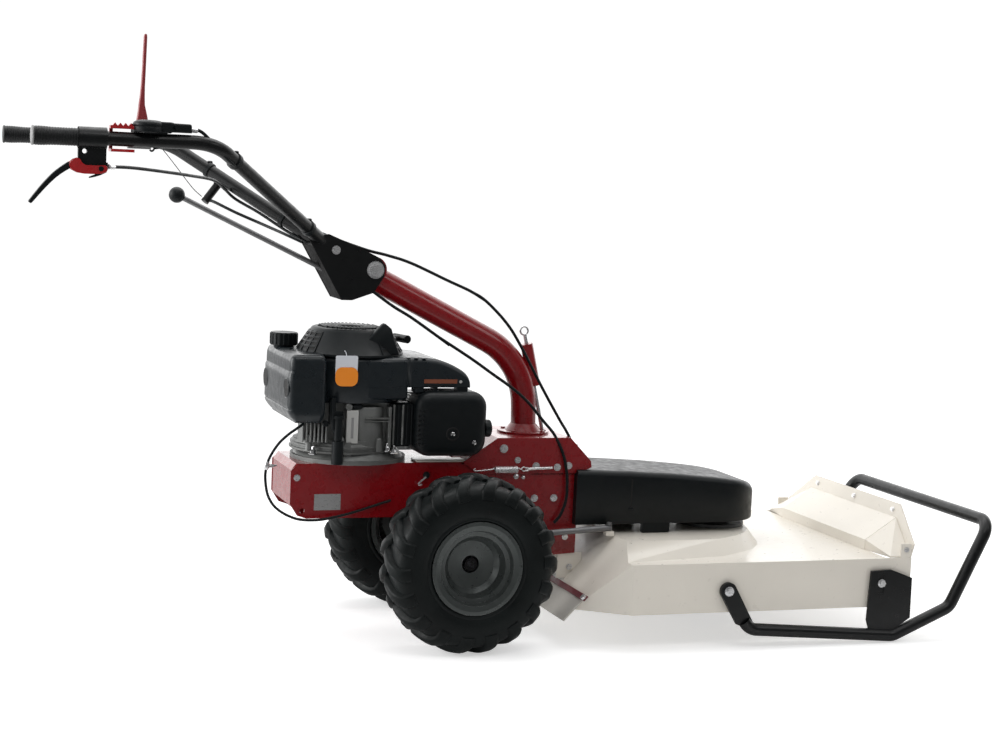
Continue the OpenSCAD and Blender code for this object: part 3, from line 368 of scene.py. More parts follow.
class Build:
    """Collects closed parts of one piece."""

    def __init__(self):
        self.v, self.f, self.m = [], [], []

    def add(self, verts, faces, mi=0):
        k = len(self.v)
        self.v += [Vector(v) for v in verts]
        self.f += [[i + k for i in f] for f in faces]
        self.m += [mi] * len(faces)
        return self

    def loft(self, loops, mi=0, cap=True, closed=False):
        n, verts, faces = len(loops[0]), [v for lp in loops for v in lp], []
        rows = len(loops)
        for i in range(rows if closed else rows - 1):
            for j in range(n):
                a, b = i * n, ((i + 1) % rows) * n
                faces.append([a + j, a + (j + 1) % n, b + (j + 1) % n, b + j])
        if cap and not closed:
            faces.append(list(range(n))[::-1])
            faces.append([(rows - 1) * n + j for j in range(n)])
        return self.add(verts, faces, mi)

    def tube(self, pts, r, n=12, mi=0, rings=None):
        """Round tube along points; r is a number or a list."""
        pts = [Vector(p) for p in pts]
        t0 = (pts[1] - pts[0]).normalized()
        up = Vector((0, 0, 1)) if abs(t0.z) < 0.9 else Vector((1, 0, 0))
        x = t0.cross(up).normalized()
        loops = []
        for i, p in enumerate(pts):
            t = (pts[min(i + 1, len(pts) - 1)] - pts[max(i - 1, 0)]).normalized()
            x = (x - t * x.dot(t)).normalized()
            y = t.cross(x)
            rr = r[i] if isinstance(r, (list, tuple)) else r
            loops.append([p + (x * math.cos(2 * math.pi * j / n) + y * math.sin(2 * math.pi * j / n)) * rr for j in range(n)])
        return self.loft(loops, mi)

    def disc(self, a, b, prof, n=32, mi=0):
        """Turned part: prof is a list of (distance along a to b, radius)."""
        a, b = Vector(a), Vector(b)
        t = (b - a).normalized()
        x = t.cross(Vector((0, 0, 1)) if abs(t.z) < 0.9 else Vector((1, 0, 0))).normalized()
        y = t.cross(x)
        loops = [[a + t * s + (x * math.cos(2 * math.pi * j / n) + y * math.sin(2 * math.pi * j / n)) * max(r, 0.01) for j in range(n)] for s, r in prof]
        return self.loft(loops, mi)

    def block(self, a, b, c=1.0, mi=0):
        """Box with chamfered edges of size c."""
        x0, y0, z0 = (min(a[i], b[i]) for i in range(3))
        x1, y1, z1 = (max(a[i], b[i]) for i in range(3))
        c = min(c, (x1 - x0) * 0.45, (y1 - y0) * 0.45, (z1 - z0) * 0.45)

        def ring(z, i):
            k = i + c
            return [(x0 + k, y0 + i, z), (x1 - k, y0 + i, z), (x1 - i, y0 + k, z), (x1 - i, y1 - k, z), (x1 - k, y1 - i, z), (x0 + k, y1 - i, z), (x0 + i, y1 - k, z), (x0 + i, y0 + k, z)]
        return self.loft([ring(z0, c), ring(z0 + c, 0), ring(z1 - c, 0), ring(z1, c)], mi)

    def done(self, name, mats, body, slot=None, smooth=40):
        o = new_object(name, self.v, self.f, mats, body, slot, smooth)
        if len(o.data.polygons) == len(self.m):
            for p, k in zip(o.data.polygons, self.m):
                p.material_index = k
        return o


def curve(pts, k=8):
    """Catmull-Rom points through pts."""
    p = [Vector(q) for q in pts]
    p = [p[0] * 2 - p[1]] + p + [p[-1] * 2 - p[-2]]
    out = []
    for i in range(1, len(p) - 2):
        a, b, c, d = p[i - 1], p[i], p[i + 1], p[i + 2]
        for j in range(k):
            t = j / k
            out.append(0.5 * ((2 * b) + (c - a) * t + (2 * a - 5 * b + 4 * c - d) * t * t + (3 * b - a - 3 * c + d) * t * t * t))
    out.append(p[-2])
    return out


def rrect(x0, x1, y0, y1, r, n=6):
    out = []
    for cx, cy, a0 in ((x1 - r, y0 + r, -90), (x1 - r, y1 - r, 0), (x0 + r, y1 - r, 90), (x0 + r, y0 + r, 180)):
        for i in range(n + 1):
            a = math.radians(a0 + 90 * i / n)
            out.append((cx + r * math.cos(a), cy + r * math.sin(a)))
    return out


# ------------------------------------------------------------------ tyres
SIDE = [(43, 80), (45.5, 86), (50.5, 89.5), (53.2, 91), (54.6, 93.5), (54.6, 96), (53.2, 98), (54.6, 101), (56.0, 106), (56.8, 113), (57.2, 121),
        (57.0, 129), (55.6, 137), (52.6, 144), (48, 149.5), (42, 153.2), (33, 156), (18, 157.6), (0, 158)]
LUGPATH = [(-5, 158), (0, 158), (18, 157.6), (33, 156), (42, 153.2), (48, 149.5), (52.6, 144), (55.6, 137), (56.6, 131.5)]


def lug_station(l):
    for i in range(1, len(LUGPATH)):
        a, b = Vector(LUGPATH[i - 1]), Vector(LUGPATH[i])
        d = (b - a).length
        if l <= d or i == len(LUGPATH) - 1:
            p = a + (b - a) * min(1, l / d)
            t = (b - a).normalized()
            return p, Vector((-t.y, t.x))
        l -= d


def tyre(name, node, yc):
    b = Build()
    prof = SIDE + [(-u, r) for u, r in SIDE[-2::-1]]
    seg = 108
    loops = []
    for i in range(seg):
        a = 2 * math.pi * i / seg
        loops.append([(r * math.sin(a), u, r * math.cos(a)) for u, r in prof])
    b.loft(loops, 0, closed=True)
    total = sum((Vector(LUGPATH[i]) - Vector(LUGPATH[i - 1])).length for i in range(1, len(LUGPATH)))
    n_lug = 18
    for s in (-1, 1):
        for i in range(n_lug):
            a0 = 2 * math.pi / n_lug * (i + (0.5 if s > 0 else 0))
            sections = []
            K = 13
            for k in range(K):
                t = k / (K - 1)
                l = total * t
                p, nrm = lug_station(l)
                if nrm.y < 0 and p.y > 150:
                    nrm = -nrm
                if p.x > 50 and nrm.x < 0:
                    nrm = -nrm
                shift = -0.235 * (min(1, t / 0.75) ** 0.85) - 0.01 * t
                h = 12.0 if t < 0.45 else 12.0 - (t - 0.45) / 0.55 * 9.6
                h *= min(1.0, 0.45 + t * 6)
                w = 8.2 + 4.5 * t
                foot = w + 4.2
                sec = []
                for side_w, up in ((-foot, -1.6), (-w - 1.2, h * 0.62), (-w + 1.4, h * 0.93), (-w + 3.6, h), (w - 3.6, h), (w - 1.4, h * 0.93), (w + 1.2, h * 0.62), (foot, -1.6)):
                    q = p + nrm * up
                    q.y = min(q.y, 169.7)
                    a = a0 + shift + side_w / 158.0
                    sec.append((q.y * math.sin(a), s * q.x, q.y * math.cos(a)))
                sections.append(sec)
            b.loft(sections, 0)
    # raised rings and small vent nubs on both sidewalls
    for s in (-1, 1):
        for i in range(12):
            a = 2 * math.pi * (i + 0.3) / 12
            for r0 in (107.5,):
                c = Vector((r0 * math.sin(a), s * 56.1, r0 * math.cos(a)))
                b.disc(c, c + Vector((0, s, 0)), [(-1, 1.4), (0.5, 1.2), (0.9, 0.7)], 8)
    o = b.done(name, MATS["tyre_rubber"], None, "tyre_rubber", 38)
    o.data.transform(Matrix.Translation((0, yc * MM, 170 * MM)))
    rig.ride(o, "wheels")
    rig.replaces(o, node)
    return o


tyre("visual_tyre_right", "tyre_right", -209)
tyre("visual_tyre_left", "tyre_left", 209)

# ------------------------------------------------------------------ CAD nodes with rounded edges
for nm, w in (("main_frame", 0.9), ("column_saddle", 0.9), ("swivel_base", 0.6), ("deck_shell", 1.2), ("front_hood", 0.7),
              ("engine_block", 1.1), ("handle_bracket", 0.8),
              ("throttle_lever", 0.5), ("lever_brackets", 0.9),
              ("fuel_cap", 1.0), ("skid_bar", 0.6), ("spindle_housing", 1.0), ("gearbox_housing", 1.5), ("muffler", 1.5), ("data_plate", 0.3),
              ("deflector_flap", 0.8), ("flap_strap", 0.6), ("starter_handle", 1.0), ("stay_rod", 0.4)):
    soften(nm, w)

# ------------------------------------------------------------------ fuel tank
b = Build()
loops = []
for z, i in ((422, 13), (424.5, 8), (428, 4.5), (433, 2), (440, 0), (446, 0), (448, 0), (452, 0), (456, 0), (500, 0), (515, 0), (518, 0), (522, 0), (526, 0), (538, 0.3), (544, 1.6), (548, 4), (550.6, 7.5), (552, 12.5)):
    ring = rrect(-335 + i, -262 - min(i, 6), -110 + i, 107 - i, 13 - min(i, 6), 8)
    lp = []
    for x, y in ring:
        dx = 0
        if x < -318:
            k = min(1, (-318 - x) / 10)
            if z < 447:
                dx = k * (447 - z) * 0.42
            if 447 <= z <= 449 or 518 <= z <= 523:
                dx = 2.2 * k
            if z >= 518:
                dx = max(dx, 2.2 * k)
        lp.append((x + dx, y, z))
    loops.append(lp)
b.loft(loops, 0)
b.disc((-308, 60, 551), (-308, 60, 570), [(0, 21), (3, 19.5), (14, 19)], 40, 0)
# oval recesses inside a raised lip on the rear face; the disc at the bottom of each is painted shade standing in for
# the dark inside of the hole
for yc, zc in ((-86, 487), (88, 487)):
    b.disc((-333, yc, zc), (-335.9, yc, zc), [(0, 19.5), (2.4, 19.4), (2.9, 18.4), (2.0, 17.4), (1.9, 0.5)], 36, 0)
    b.disc((-334, yc, zc), (-335.3, yc, zc), [(0, 17.2), (1.25, 17.2), (1.3, 16.8)], 36, 1)
tank = b.done("visual_fuel_tank", [MATS["tank_plastic"], PAINTED_SHADE], "chassis", "tank_plastic", 50)
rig.replaces(tank, "fuel_tank")

# ------------------------------------------------------------------ recoil starter housing
b = Build()
RC = (-192, 0)
b.disc((RC[0], RC[1], 546), (RC[0], RC[1], 606), [(0, 99), (0.2, 103), (1.2, 104), (4.6, 104), (5.6, 102.4), (42, 79), (46, 76.4), (49, 73.6), (50.5, 70), (51, 66), (50.4, 63), (48, 61.5), (47.4, 59)], 72, 0)


def cone_r(z):
    return 102.4 + (79 - 102.4) * (z - 551.6) / (588 - 551.6)


def polar(a, r, z):
    return (RC[0] + r * math.cos(math.radians(a)), RC[1] + r * math.sin(math.radians(a)), z)


def louvre(a, w, z0, z1):
    """Slot with a raised hood over it, on the cone; the slot itself is a box of painted shade standing in for the shade
    inside the opening.
    """
    e0, e1 = cone_r(z0), cone_r(z1)
    da = math.degrees(w / 2 / 92)
    b.loft([[polar(a - da, e0 - 1, z0), polar(a + da, e0 - 1, z0), polar(a + da, e0 + 0.35, z0), polar(a - da, e0 + 0.35, z0)],
            [polar(a - da, e1 - 1, z1), polar(a + da, e1 - 1, z1), polar(a + da, e1 + 0.35, z1), polar(a - da, e1 + 0.35, z1)]], 1)
    zt = z1 + 2.6
    e2 = cone_r(zt)
    b.loft([[polar(a - da - 0.7, e1 - 1, z1), polar(a + da + 0.7, e1 - 1, z1), polar(a + da + 0.7, e1 + 2.2, z1), polar(a - da - 0.7, e1 + 2.2, z1)],
            [polar(a - da - 0.7, e2 - 1, zt), polar(a + da + 0.7, e2 - 1, zt), polar(a + da + 0.7, e2 + 1.6, zt), polar(a - da - 0.7, e2 + 1.6, zt)]], 0)


for grp in ((172, 184, 196, 208), (300, 312, 324, 336, 20, 40, 60, 80, 100, 120, 140)):
    for a in grp:
        for z0 in (556.5, 565, 573.5, 582):
            louvre(a, 13, z0, z0 + 4.6)
# raised vertical bars between the louvres
for a in (166, 178, 190, 202, 214, 294, 306, 318, 330, 342):
    b.loft([[polar(a - 0.8, cone_r(553) - 1, 553), polar(a + 0.8, cone_r(553) - 1, 553), polar(a + 0.8, cone_r(553) + 2, 553), polar(a - 0.8, cone_r(553) + 2, 553)],
            [polar(a - 0.8, cone_r(590) - 1, 590), polar(a + 0.8, cone_r(590) - 1, 590), polar(a + 0.8, cone_r(590) + 1.6, 590), polar(a - 0.8, cone_r(590) + 1.6, 590)]], 0)
# top grille: raised bars across a well whose floor is a disc of painted shade
b.disc((RC[0], RC[1], 590), (RC[0], RC[1], 600), [(0, 59.5), (5.2, 59.5), (5.3, 58)], 48, 1)
for i in range(-7, 8):
    y = i * 7.6
    h = math.sqrt(max(0, 61.5 ** 2 - y * y))
    if h > 8:
        b.block((RC[0] + y - 1.9, -h, 592), (RC[0] + y + 1.9, h, 599.5), 0.7, 0)
b.disc((RC[0], RC[1], 592), (RC[0], RC[1], 603), [(0, 24), (8.4, 24), (9.4, 22), (9.6, 0.5)], 36, 0)
# rope guide: a three-cornered plate standing up on the near side
tri = [(-206, 551), (-149.5, 609), (-145.5, 610.5), (-142, 608.5), (-132.5, 601), (-131, 597), (-122, 570), (-114, 551)]
for y0, y1, c in ((-83, -69, 0),):
    def off(k):
        cx, cz = -152, 572
        return [(cx + (x - cx) * k, cz + (z - cz) * k) for x, z in tri]
    b.loft([[(x, y0 + 0.01, z) for x, z in off(0.94)], [(x, y0 + 1.2, z) for x, z in off(0.985)], [(x, y0 + 2.4, z) for x, z in off(1)], [(x, y1, z) for x, z in off(1)]], 0)
b.block((-158, -72, 552), (-118, -30, 588), 6, 0)
# small stud beside the guide
b.disc((-219, -92, 546), (-219, -92, 557), [(0, 5.2), (6, 5.2), (9, 3.6), (11, 0.8)], 16, 2)
rc = b.done("visual_recoil", [MATS["black_plastic"], PAINTED_SHADE, DULLSTEEL], "chassis", "black_plastic", 38)
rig.replaces(rc, "recoil_cover")

# ------------------------------------------------------------------ blower shroud
b = Build()
b.disc((-192, 0, 459), (-192, 0, 546), [(0, 95), (0.5, 99), (2, 100), (78, 100), (82.5, 99), (85.6, 96), (86.6, 90)], 72, 0)
top = curve([(-196, 0, 545.4), (-150, 0, 546.2), (-112, 0, 547.0), (-75, 0, 546.6), (-41, 0, 543.6), (-15, 0, 535.8), (2, 0, 528), (15, 0, 520.5), (22.5, 0, 513.5), (26.6, 0, 505), (27.6, 0, 498), (27.8, 0, 491)], 5)
loops = []
for q in top:
    zt, r = q.z, min(11.0, max(0.8, (q.z - 490) * 0.45))
    yn, yf = -90.0, 82.0
    if q.x < -96:
        yn = -99.4 + min(1, max(0, (q.x + 104) / 8)) * 9.4
    lp = [(q.x, yn + 1, 489.5), (q.x, yn, 490.5)]
    for i in range(7):
        a = math.radians(180 - 15 * i)
        lp.append((q.x, yn + r + r * math.cos(a), zt - r + r * math.sin(a)))
    for i in range(7):
        a = math.radians(90 - 15 * i)
        lp.append((q.x, yf - r + r * math.cos(a), zt - r + r * math.sin(a)))
    lp += [(q.x, yf, 490.5), (q.x, yf - 1, 489.5)]
    loops.append(lp)
b.loft(loops, 0)
b.block((-188, -98.9, 466), (-100, -84, 543), 4, 0)
for x0, x1 in ((-84, -64), (-46, -36), (2, 25)):
    b.block((x0, -86, 479), (x1, -66, 492), 1.5, 0)
# row of small raised marks near the top edge, a stripe and a dot
for i in range(6):
    b.block((-150 + 16 * i, -91.6, 546.2 - 0.35 * i), (-142 + 16 * i, -82, 548.2 - 0.35 * i), 0.8, 0)
b.block((-66, -90.9, 497.5), (1, -88, 505.5), 0.4, 1)
b.disc((8, -89, 501), (8, -91, 501), [(0, 3), (1.7, 3), (2, 2.6)], 14, 2)
# thin line below the stripe in the painted-shade material: painted shade
b.block((-64, -90.7, 493.2), (1, -88, 494.4), 0.3, 3)
sh = b.done("visual_shroud", [MATS["tank_plastic"], STRIPE, LABEL, PAINTED_SHADE], "chassis", "black_plastic", 42)
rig.replaces(sh, "blower_shroud")

# ------------------------------------------------------------------ air filter box
b = Build()
loops = []
for y, i in ((-44, 3), (-46, 0), (-92, 0), (-97, 0.5), (-101, 1.8), (-105, 4.4), (-108.4, 8), (-110.8, 13), (-112, 19), (-112.3, 27)):
    loops.append([(x, y, z) for x, z in rrect(-84 + i, 61 - i, 357 + i, 483 - i, max(6, 31 - i), 9)])
b.loft(loops, 0)
# louvres: the gaps between the slats are blocks of painted shade standing in for the shade inside the openings
for k in range(8):
    z = 378 + 9.1 * k
    b.block((-79.5 + (2 if k in (0, 7) else 0), -108.2, z), (-66, -60, z + 4.2), 0.8, 1)
    b.block((-72, -111.0, z), (-60, -90, z + 4.2), 0.8, 1)
    b.block((-79, -109.6, z + 4.2), (-66, -100, z + 6.0), 0.5, 0)
    b.block((-73, -112.2, z + 4.2), (-60, -100, z + 6.0), 0.5, 0)
# round boss with a cupped middle, made in the painted-shade material so it reads darker than the box: painted shade
b.disc((-11, -108, 402), (-11, -114, 402), [(0, 13.5), (4.2, 13.5), (5.2, 12.6), (5.0, 10.5), (3.6, 9.4), (3.4, 3.4)], 30, 1)
b.disc((-11, -110, 402), (-11, -114.6, 402), [(0, 4.2), (3.8, 4.2), (4.6, 3.0)], 14, 2)
b.disc((33, -110, 385), (33, -113.8, 385), [(0, 4.4), (3.2, 4.4), (3.8, 3.4)], 14, 2)
b.disc((60, -88, 410), (73, -88, 410), [(0, 17), (10.5, 17), (12, 16), (13, 14)], 36, 0)
b.disc((71, -88, 410), (74.2, -88, 410), [(0, 5), (2.6, 5), (3.2, 3.8)], 12, 2)
af = b.done("visual_air_filter", [MATS["black_plastic"], PAINTED_SHADE, CHROME], "chassis", "black_plastic", 36)
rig.replaces(af, "air_filter_box")

# ------------------------------------------------------------------ crankcase castings, bolts and blank label
b = Build()
b.disc((-176, -50, 372), (-176, -50, 452), [(0, 42), (1, 43), (76, 43), (79, 41), (80, 36)], 48, 0)
b.disc((-201, 0, 361), (-201, 0, 380), [(0, 101), (1, 102), (4, 102), (5, 98), (9, 98), (10, 100), (13, 100), (14.5, 97), (19, 95)], 72, 0)
for i in range(7):
    x = -299 + 7.0 * i
    b.block((x, -78 - 2.2 * i, 383), (x + 3.2, -40, 420), 0.8, 0)
b.disc((-226, -88, 366), (-226, -88, 394), [(0, 9), (22, 7.4), (26, 6.4), (28, 4)], 20, 0)
b.disc((-285, -74, 366), (-285, -74, 398), [(0, 6.5), (28, 5.4), (31, 3.6)], 18, 0)
b.disc((-152, -90, 366), (-152, -90, 392), [(0, 7), (20, 6), (24, 5.2), (26, 3)], 18, 0)
b.block((-182, -95.5, 428.5), (-134, -84, 431.5), 0.8, 0)
b.block((-182, -95.5, 423.5), (-134, -84, 425.5), 0.6, 0)
b.block((-134, -92, 372), (-128, -58, 452), 1.2, 0)
b.block((-128, -84, 374), (-86, -50, 458), 2.5, 1)
for i in range(5):
    b.block((-124 + 9 * i, -88, 378), (-120.5 + 9 * i, -82, 456), 0.8, 0 if i in (0, 2) else 1)
b.block((-217.5, -94.6, 382), (-194.5, -90.5, 446), 0.7, 2)
b.block((-208.6, -94.9, 392), (-203.5, -94.2, 432), 0.3, 4)
b.disc((-214, -88, 452), (-214, -96, 452), [(0, 7), (6.5, 7), (8, 5.6), (7.6, 3)], 22, 0)
b.block((-206, -94, 448), (-186, -86, 457), 2, 1)
for x, y, z, r in ((-279, -86, 361, 5.4), (-119, -82, 361, 5.4), (-134, -88, 366, 5.0)):
    b.disc((x, y, z), (x, y, z + 14), [(0, r + 3.2), (1.5, r + 3.4), (2.2, r), (8, r), (9.5, r - 1.5)], 6 if r > 5.2 else 20, 3)
    b.disc((x, y, z + 8), (x, y, z + 17), [(0, 3), (5.5, 3), (7.5, 1.6)], 14, 3)
b.tube(curve([(-246, -100, 470), (-246, -101, 440), (-245, -101, 414), (-240, -101, 404), (-232, -101, 401)], 6), 4.6, 12, 1)
b.block((-252, -101, 420), (-247, -86, 466), 1.5, 1)
b.disc((-258, -88, 420), (-258, -97, 420), [(0, 6), (6, 6), (8, 4.6)], 16, 1)
# pale sheet strip lying on the engine plate in front of the flange
b.block((-72, -79, 342.2), (62, -42, 345.8), 0.8, 5)
b.done("visual_crankcase", [MATS["cast_alu"], MATS["black_plastic"], LABEL, CHROME, GREYPLASTIC, MATS["cream_paint"]], "chassis", "cast_alu", 36)

# ------------------------------------------------------------------ hang tag: white card over an orange rounded one
b = Build()


def card(x0, x1, z0, z1, y, r, mi, t=0.8):
    pts = [(x, z) for x, z in rrect(x0, x1, z0, z1, r, 5)]
    b.loft([[(x, y, z) for x, z in pts], [(x, y - t, z) for x, z in pts]], mi)


card(-246, -203, 506, 551, -104.6, 3, 0)
card(-246, -202, 493, 529, -105.5, 13, 1)
b.tube(curve([(-225, -105, 549), (-226, -103, 556), (-228, -99, 560)], 5), 0.7, 8, 0)
tag = b.done("visual_hang_tag", [PAPER, MATS["orange_plastic"]], "chassis", "orange_plastic", 30)
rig.replaces(tag, "hang_tag")

# ------------------------------------------------------------------ grips
for s, nm in ((-1, "right"), (1, "left")):
    b = Build()
    prof = [(0, 12.0), (0.6, 14.6), (2.2, 16.0)]
    for i in range(24):
        x = 4 + i * 4.6
        base = 15.3 + 1.2 * math.exp(-((x - 12) / 16) ** 2) + 0.8 * math.exp(-((x - 104) / 14) ** 2)
        prof += [(x, base), (x + 0.6, base - 0.45), (x + 2.2, base - 0.45), (x + 2.8, base)]
    prof += [(115.5, 15.6), (117.5, 15.2), (118.6, 14.6), (119.6, 12.6)]
    b.disc((-829, s * 252, 936), (-709, s * 252, 936), prof, 44, 0)
    b.disc((-829.4, s * 252, 936), (-825, s * 252, 936), [(0, 13), (0.3, 15.4), (1.2, 16.9), (3.0, 17.0), (3.6, 16.6)], 40, 1 if s < 0 else 0)
    g = b.done("visual_grip_" + nm, [MATS["grip_rubber"], GREYPLASTIC], "handle", "grip_rubber", 32)
    if s < 0:
        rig.replaces(g, "grips")

# ------------------------------------------------------------------ hand controls
b = Build()
b.disc((-632, -252, 949), (-632, -252, 971.5), [(0, 21), (0.2, 25.6), (1.4, 27), (9, 27), (10, 26.4), (11, 27), (15.5, 26.6), (18.4, 24.8), (20.6, 20), (21.8, 12), (22.2, 0.5)], 44, 0)
lp = []
for x, i in ((-634, 1.5), (-630, 0), (-596, 0), (-592, 0.4), (-589, 1.4), (-562, 1.8), (-559, 2.6), (-557.6, 5)):
    hw = 17 if x < -600 else 17 - min(6, (x + 600) * 0.35)
    lp.append([(x, -252 + y, z) for y, z in rrect(-hw + i, hw - i, 949.2 + (2.0 if x > -593 else 0), 968.6 - i, 3.2, 4)])
b.loft(lp, 0)
b.disc((-585, -269, 960), (-585, -262, 960), [(0, 4.2), (6, 4.2), (7, 3)], 14, 0)
b.disc((-610, -271, 957), (-610, -266, 957), [(0, 3), (2, 3.4), (5, 3)], 12, 0)
b.disc((-640, -252, 952), (-600, -252, 952), [(0, 9), (40, 9)], 12, 0)
con = b.done("visual_console", [MATS["black_plastic"]], "handle", "black_plastic", 38)
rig.replaces(con, "throttle_housing")

# clutch lever: red cheeks either side of the bracket, black curved blade, small latch
b = Build()
cheek = [(-766, 888), (-764.5, 894), (-759, 899), (-752, 901.5), (-747.5, 899), (-744, 893), (-738, 889.5), (-716, 889.5), (-706, 890.5), (-701.5, 888), (-700.5, 883), (-703, 878.5), (-710, 876), (-722, 874.6), (-740, 874.4), (-752, 876), (-762, 881)]
for y0, y1 in ((-261, -257.2), (-246.8, -243)):
    cx, cz = -735, 884
    sh_ = lambda k: [(cx + (x - cx) * k, cz + (z - cz) * (1 - (1 - k) * 2.4)) for x, z in cheek]
    b.loft([[(x, y0, z) for x, z in sh_(0.985)], [(x, y0 + 0.9, z) for x, z in cheek], [(x, y1 - 0.9, z) for x, z in cheek], [(x, y1, z) for x, z in sh_(0.985)]], 0)
b.block((-767, -258, 883.5), (-756, -246, 895), 1.5, 0)
spine = curve([(-764, -252, 889), (-776, -252, 881), (-789, -252, 870.5), (-802, -252, 857), (-815, -252, 841.5), (-826, -252, 827.5), (-830, -252, 822.5)], 5)
lp = []
for i, q in enumerate(spine):
    t = i / (len(spine) - 1)
    a_ = spine[min(i + 1, len(spine) - 1)] - spine[max(i - 1, 0)]
    n_ = Vector((-a_.z, 0, a_.x)).normalized()
    th = 5.6 - 2.6 * t if t < 0.97 else 2.0
    hw = 7.0 - 0.8 * t if t < 0.97 else 5.0
    lp.append([(q.x + n_.x * v, -252 + u, q.z + n_.z * v) for u, v in rrect(-hw, hw, -th, th, min(1.8, th * 0.7), 3)])
b.loft(lp, 1)
b.disc((-712, -262.4, 884), (-712, -241.6, 884), [(0, 2.6), (0.6, 4.2), (1.6, 4.6), (19.2, 4.6), (20.2, 4.2), (20.8, 2.6)], 16, 2)
lp = [[(x, -252 + y, z) for y, z in rrect(-4.5, 4.5, zz - h, zz + h, 0.8, 2)] for x, zz, h in ((-703, 880.5, 2.6),)] and []
for x, zz, h in ((-702, 880.5, 2.4), (-712, 875.5, 2.6), (-722, 871.5, 2.0), (-731, 868.6, 1.2)):
    lp.append([(x, -252 + y, zz + w) for y, w in rrect(-4.5, 4.5, -h, h, min(0.9, h * 0.6), 2)])
b.loft(lp, 1)
cl = b.done("visual_clutch_lever", [MATS["red_plastic"], MATS["black_plastic"], MATS["black_plastic"]], "clutch", "red_plastic", 36)
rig.replaces(cl, "clutch_lever")

# safety lever: long flat blade, flared at the foot
b = Build()
lp = []
for z, xa, xb, hw in ((950, -574, -558, 8.6), (953, -574.5, -556, 9), (958, -574.5, -554, 9), (966, -574, -552.6, 9), (977, -573.2, -552.4, 9), (984, -572.2, -553.6, 8.6), (994, -571, -556, 8.2), (1005, -570, -558.6, 7.8),
                      (1020, -568.4, -559.2, 7.4), (1041, -566.6, -559.4, 7.2), (1075, -565.0, -558.6, 7), (1110, -564, -557.8, 6.8), (1138, -563.2, -557.2, 6.4), (1142, -562.6, -557.6, 5.8), (1143.8, -561.4, -558.8, 4.4)):
    lp.append([(x, 252 + y, z) for x, y in rrect(xa, xb, -hw, hw, min(2.2, (xb - xa) * 0.3), 4)])
b.loft(lp, 0)
b.block((-572.5, 242.6, 961), (-554, 243.6, 976), 0.4, 0)
b.disc((-566, 241.8, 959), (-566, 262.2, 959), [(0, 5), (0.8, 6.4), (19.6, 6.4), (20.4, 5)], 20, 1)
sf = b.done("visual_safety_lever", [REDLEVER, MATS["black_paint"]], "safety", "red_plastic", 40)
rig.replaces(sf, "safety_lever")

# bands round the tubes, hook under the near tube, ferrule at the hanger
b = Build()
for s_ in (-1, 1):
    for t in ((0.17, 0.86) if s_ < 0 else (0.30, 0.80)):
        c_ = Vector((-515 + 253 * t, s_ * (252 - 221 * t), 936 - 174 * t))
        d_ = Vector((253, -s_ * 221, -174)).normalized()
        b.disc(c_ - d_ * 5, c_ + d_ * 5, [(0, 12), (0.4, 14.6), (1, 15.2), (9, 15.2), (9.6, 14.6), (10, 12)], 28, 0)
        b.block((c_.x - 4, c_.y - 4 + (2 if s_ > 0 else 0), c_.z + 12.6), (c_.x + 6, c_.y + 4 + (2 if s_ > 0 else 0), c_.z + 18.5), 1.5, 0)
b.tube(curve([(-621, -252, 926), (-622, -252, 920.5), (-625.5, -252, 917.8), (-629, -252, 920)], 5), 1.7, 8, 0)
b.disc((-622, -252, 923), (-612, -252, 924.4), [(0, 1.5), (3, 2.6), (10, 2.2)], 10, 0)
b.disc((-453, 173, 831), (-436, 170.5, 824), [(0, 3.0), (0.8, 4.4), (12, 4.4), (13, 3.4), (18, 3.2)], 16, 1)
b.block((-431, 172, 852), (-409, 184, 868), 3, 0)
b.done("visual_tube_bands", [MATS["black_plastic"], LIGHTCOAT], "handle", "black_plastic", 38)

# ------------------------------------------------------------------ belt cover: one moulded shell with rounded edges and a round nose
b = Build()
ct = [(258.2, 326), (290, 325.6), (380, 321.6), (473, 316.2), (560, 308.2), (610, 302), (640, 296.6), (660, 290), (672, 283), (680, 273), (684, 262)]


def cover_z(x):
    for (x0, z0), (x1, z1) in zip(ct, ct[1:]):
        if x <= x1:
            return z0 + (z1 - z0) * max(0, x - x0) / (x1 - x0)
    return ct[-1][1]


half = [(258.2 + 10.0 * i, 97.0) for i in range(33)]
nose = [(587 + 97 * math.sin(math.radians(a)), 97 * math.cos(math.radians(a))) for a in range(0, 181, 6)]
outline = [(x, y) for x, y in half] + nose + [(x, -y) for x, y in reversed(half)]


def cover_ring(k, drop, base=None):
    """Outline drawn in by k mm, lowered by drop from the top surface."""
    out = []
    for x, y in outline:
        f = max(0.0, 1 - k / 97.0)
        qx = 587 + (x - 587) * f if x > 587 else x + (min(k, 3.0) if x < 259 else 0)
        q = (qx, y * f)
        out.append((q[0], q[1], base if base is not None else cover_z(q[0]) - drop))
    return out


rings = [cover_ring(1.5, 0, 216.2), cover_ring(0, 0, 218), cover_ring(0, 30)]
R_ = 13.0
for a in range(0, 91, 15):
    rings.append(cover_ring(R_ * (1 - math.cos(math.radians(a))), R_ * (1 - math.sin(math.radians(a)))))
for k in (20, 32, 48, 66, 84, 96):
    rings.append(cover_ring(k, 0))
b.loft(rings, 0)
# vertical seam: a thin block of painted shade standing in for the shade in the groove
b.block((375.6, -97.35, 250), (378.6, -95, 307), 0.3, 1)
b.block((371, -97.6, 245), (383, -95, 250.5), 0.8, 0)
for x0 in (405,):
    for s in (-1, 1):
        b.block((x0, s * 96.5, 197.2), (x0 + 60, s * 83, 220), 1.5, 0)
bc = b.done("visual_belt_cover", [MATS["black_plastic"], PAINTED_SHADE], "chassis", "black_plastic", 40)
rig.replaces(bc, "belt_cover")

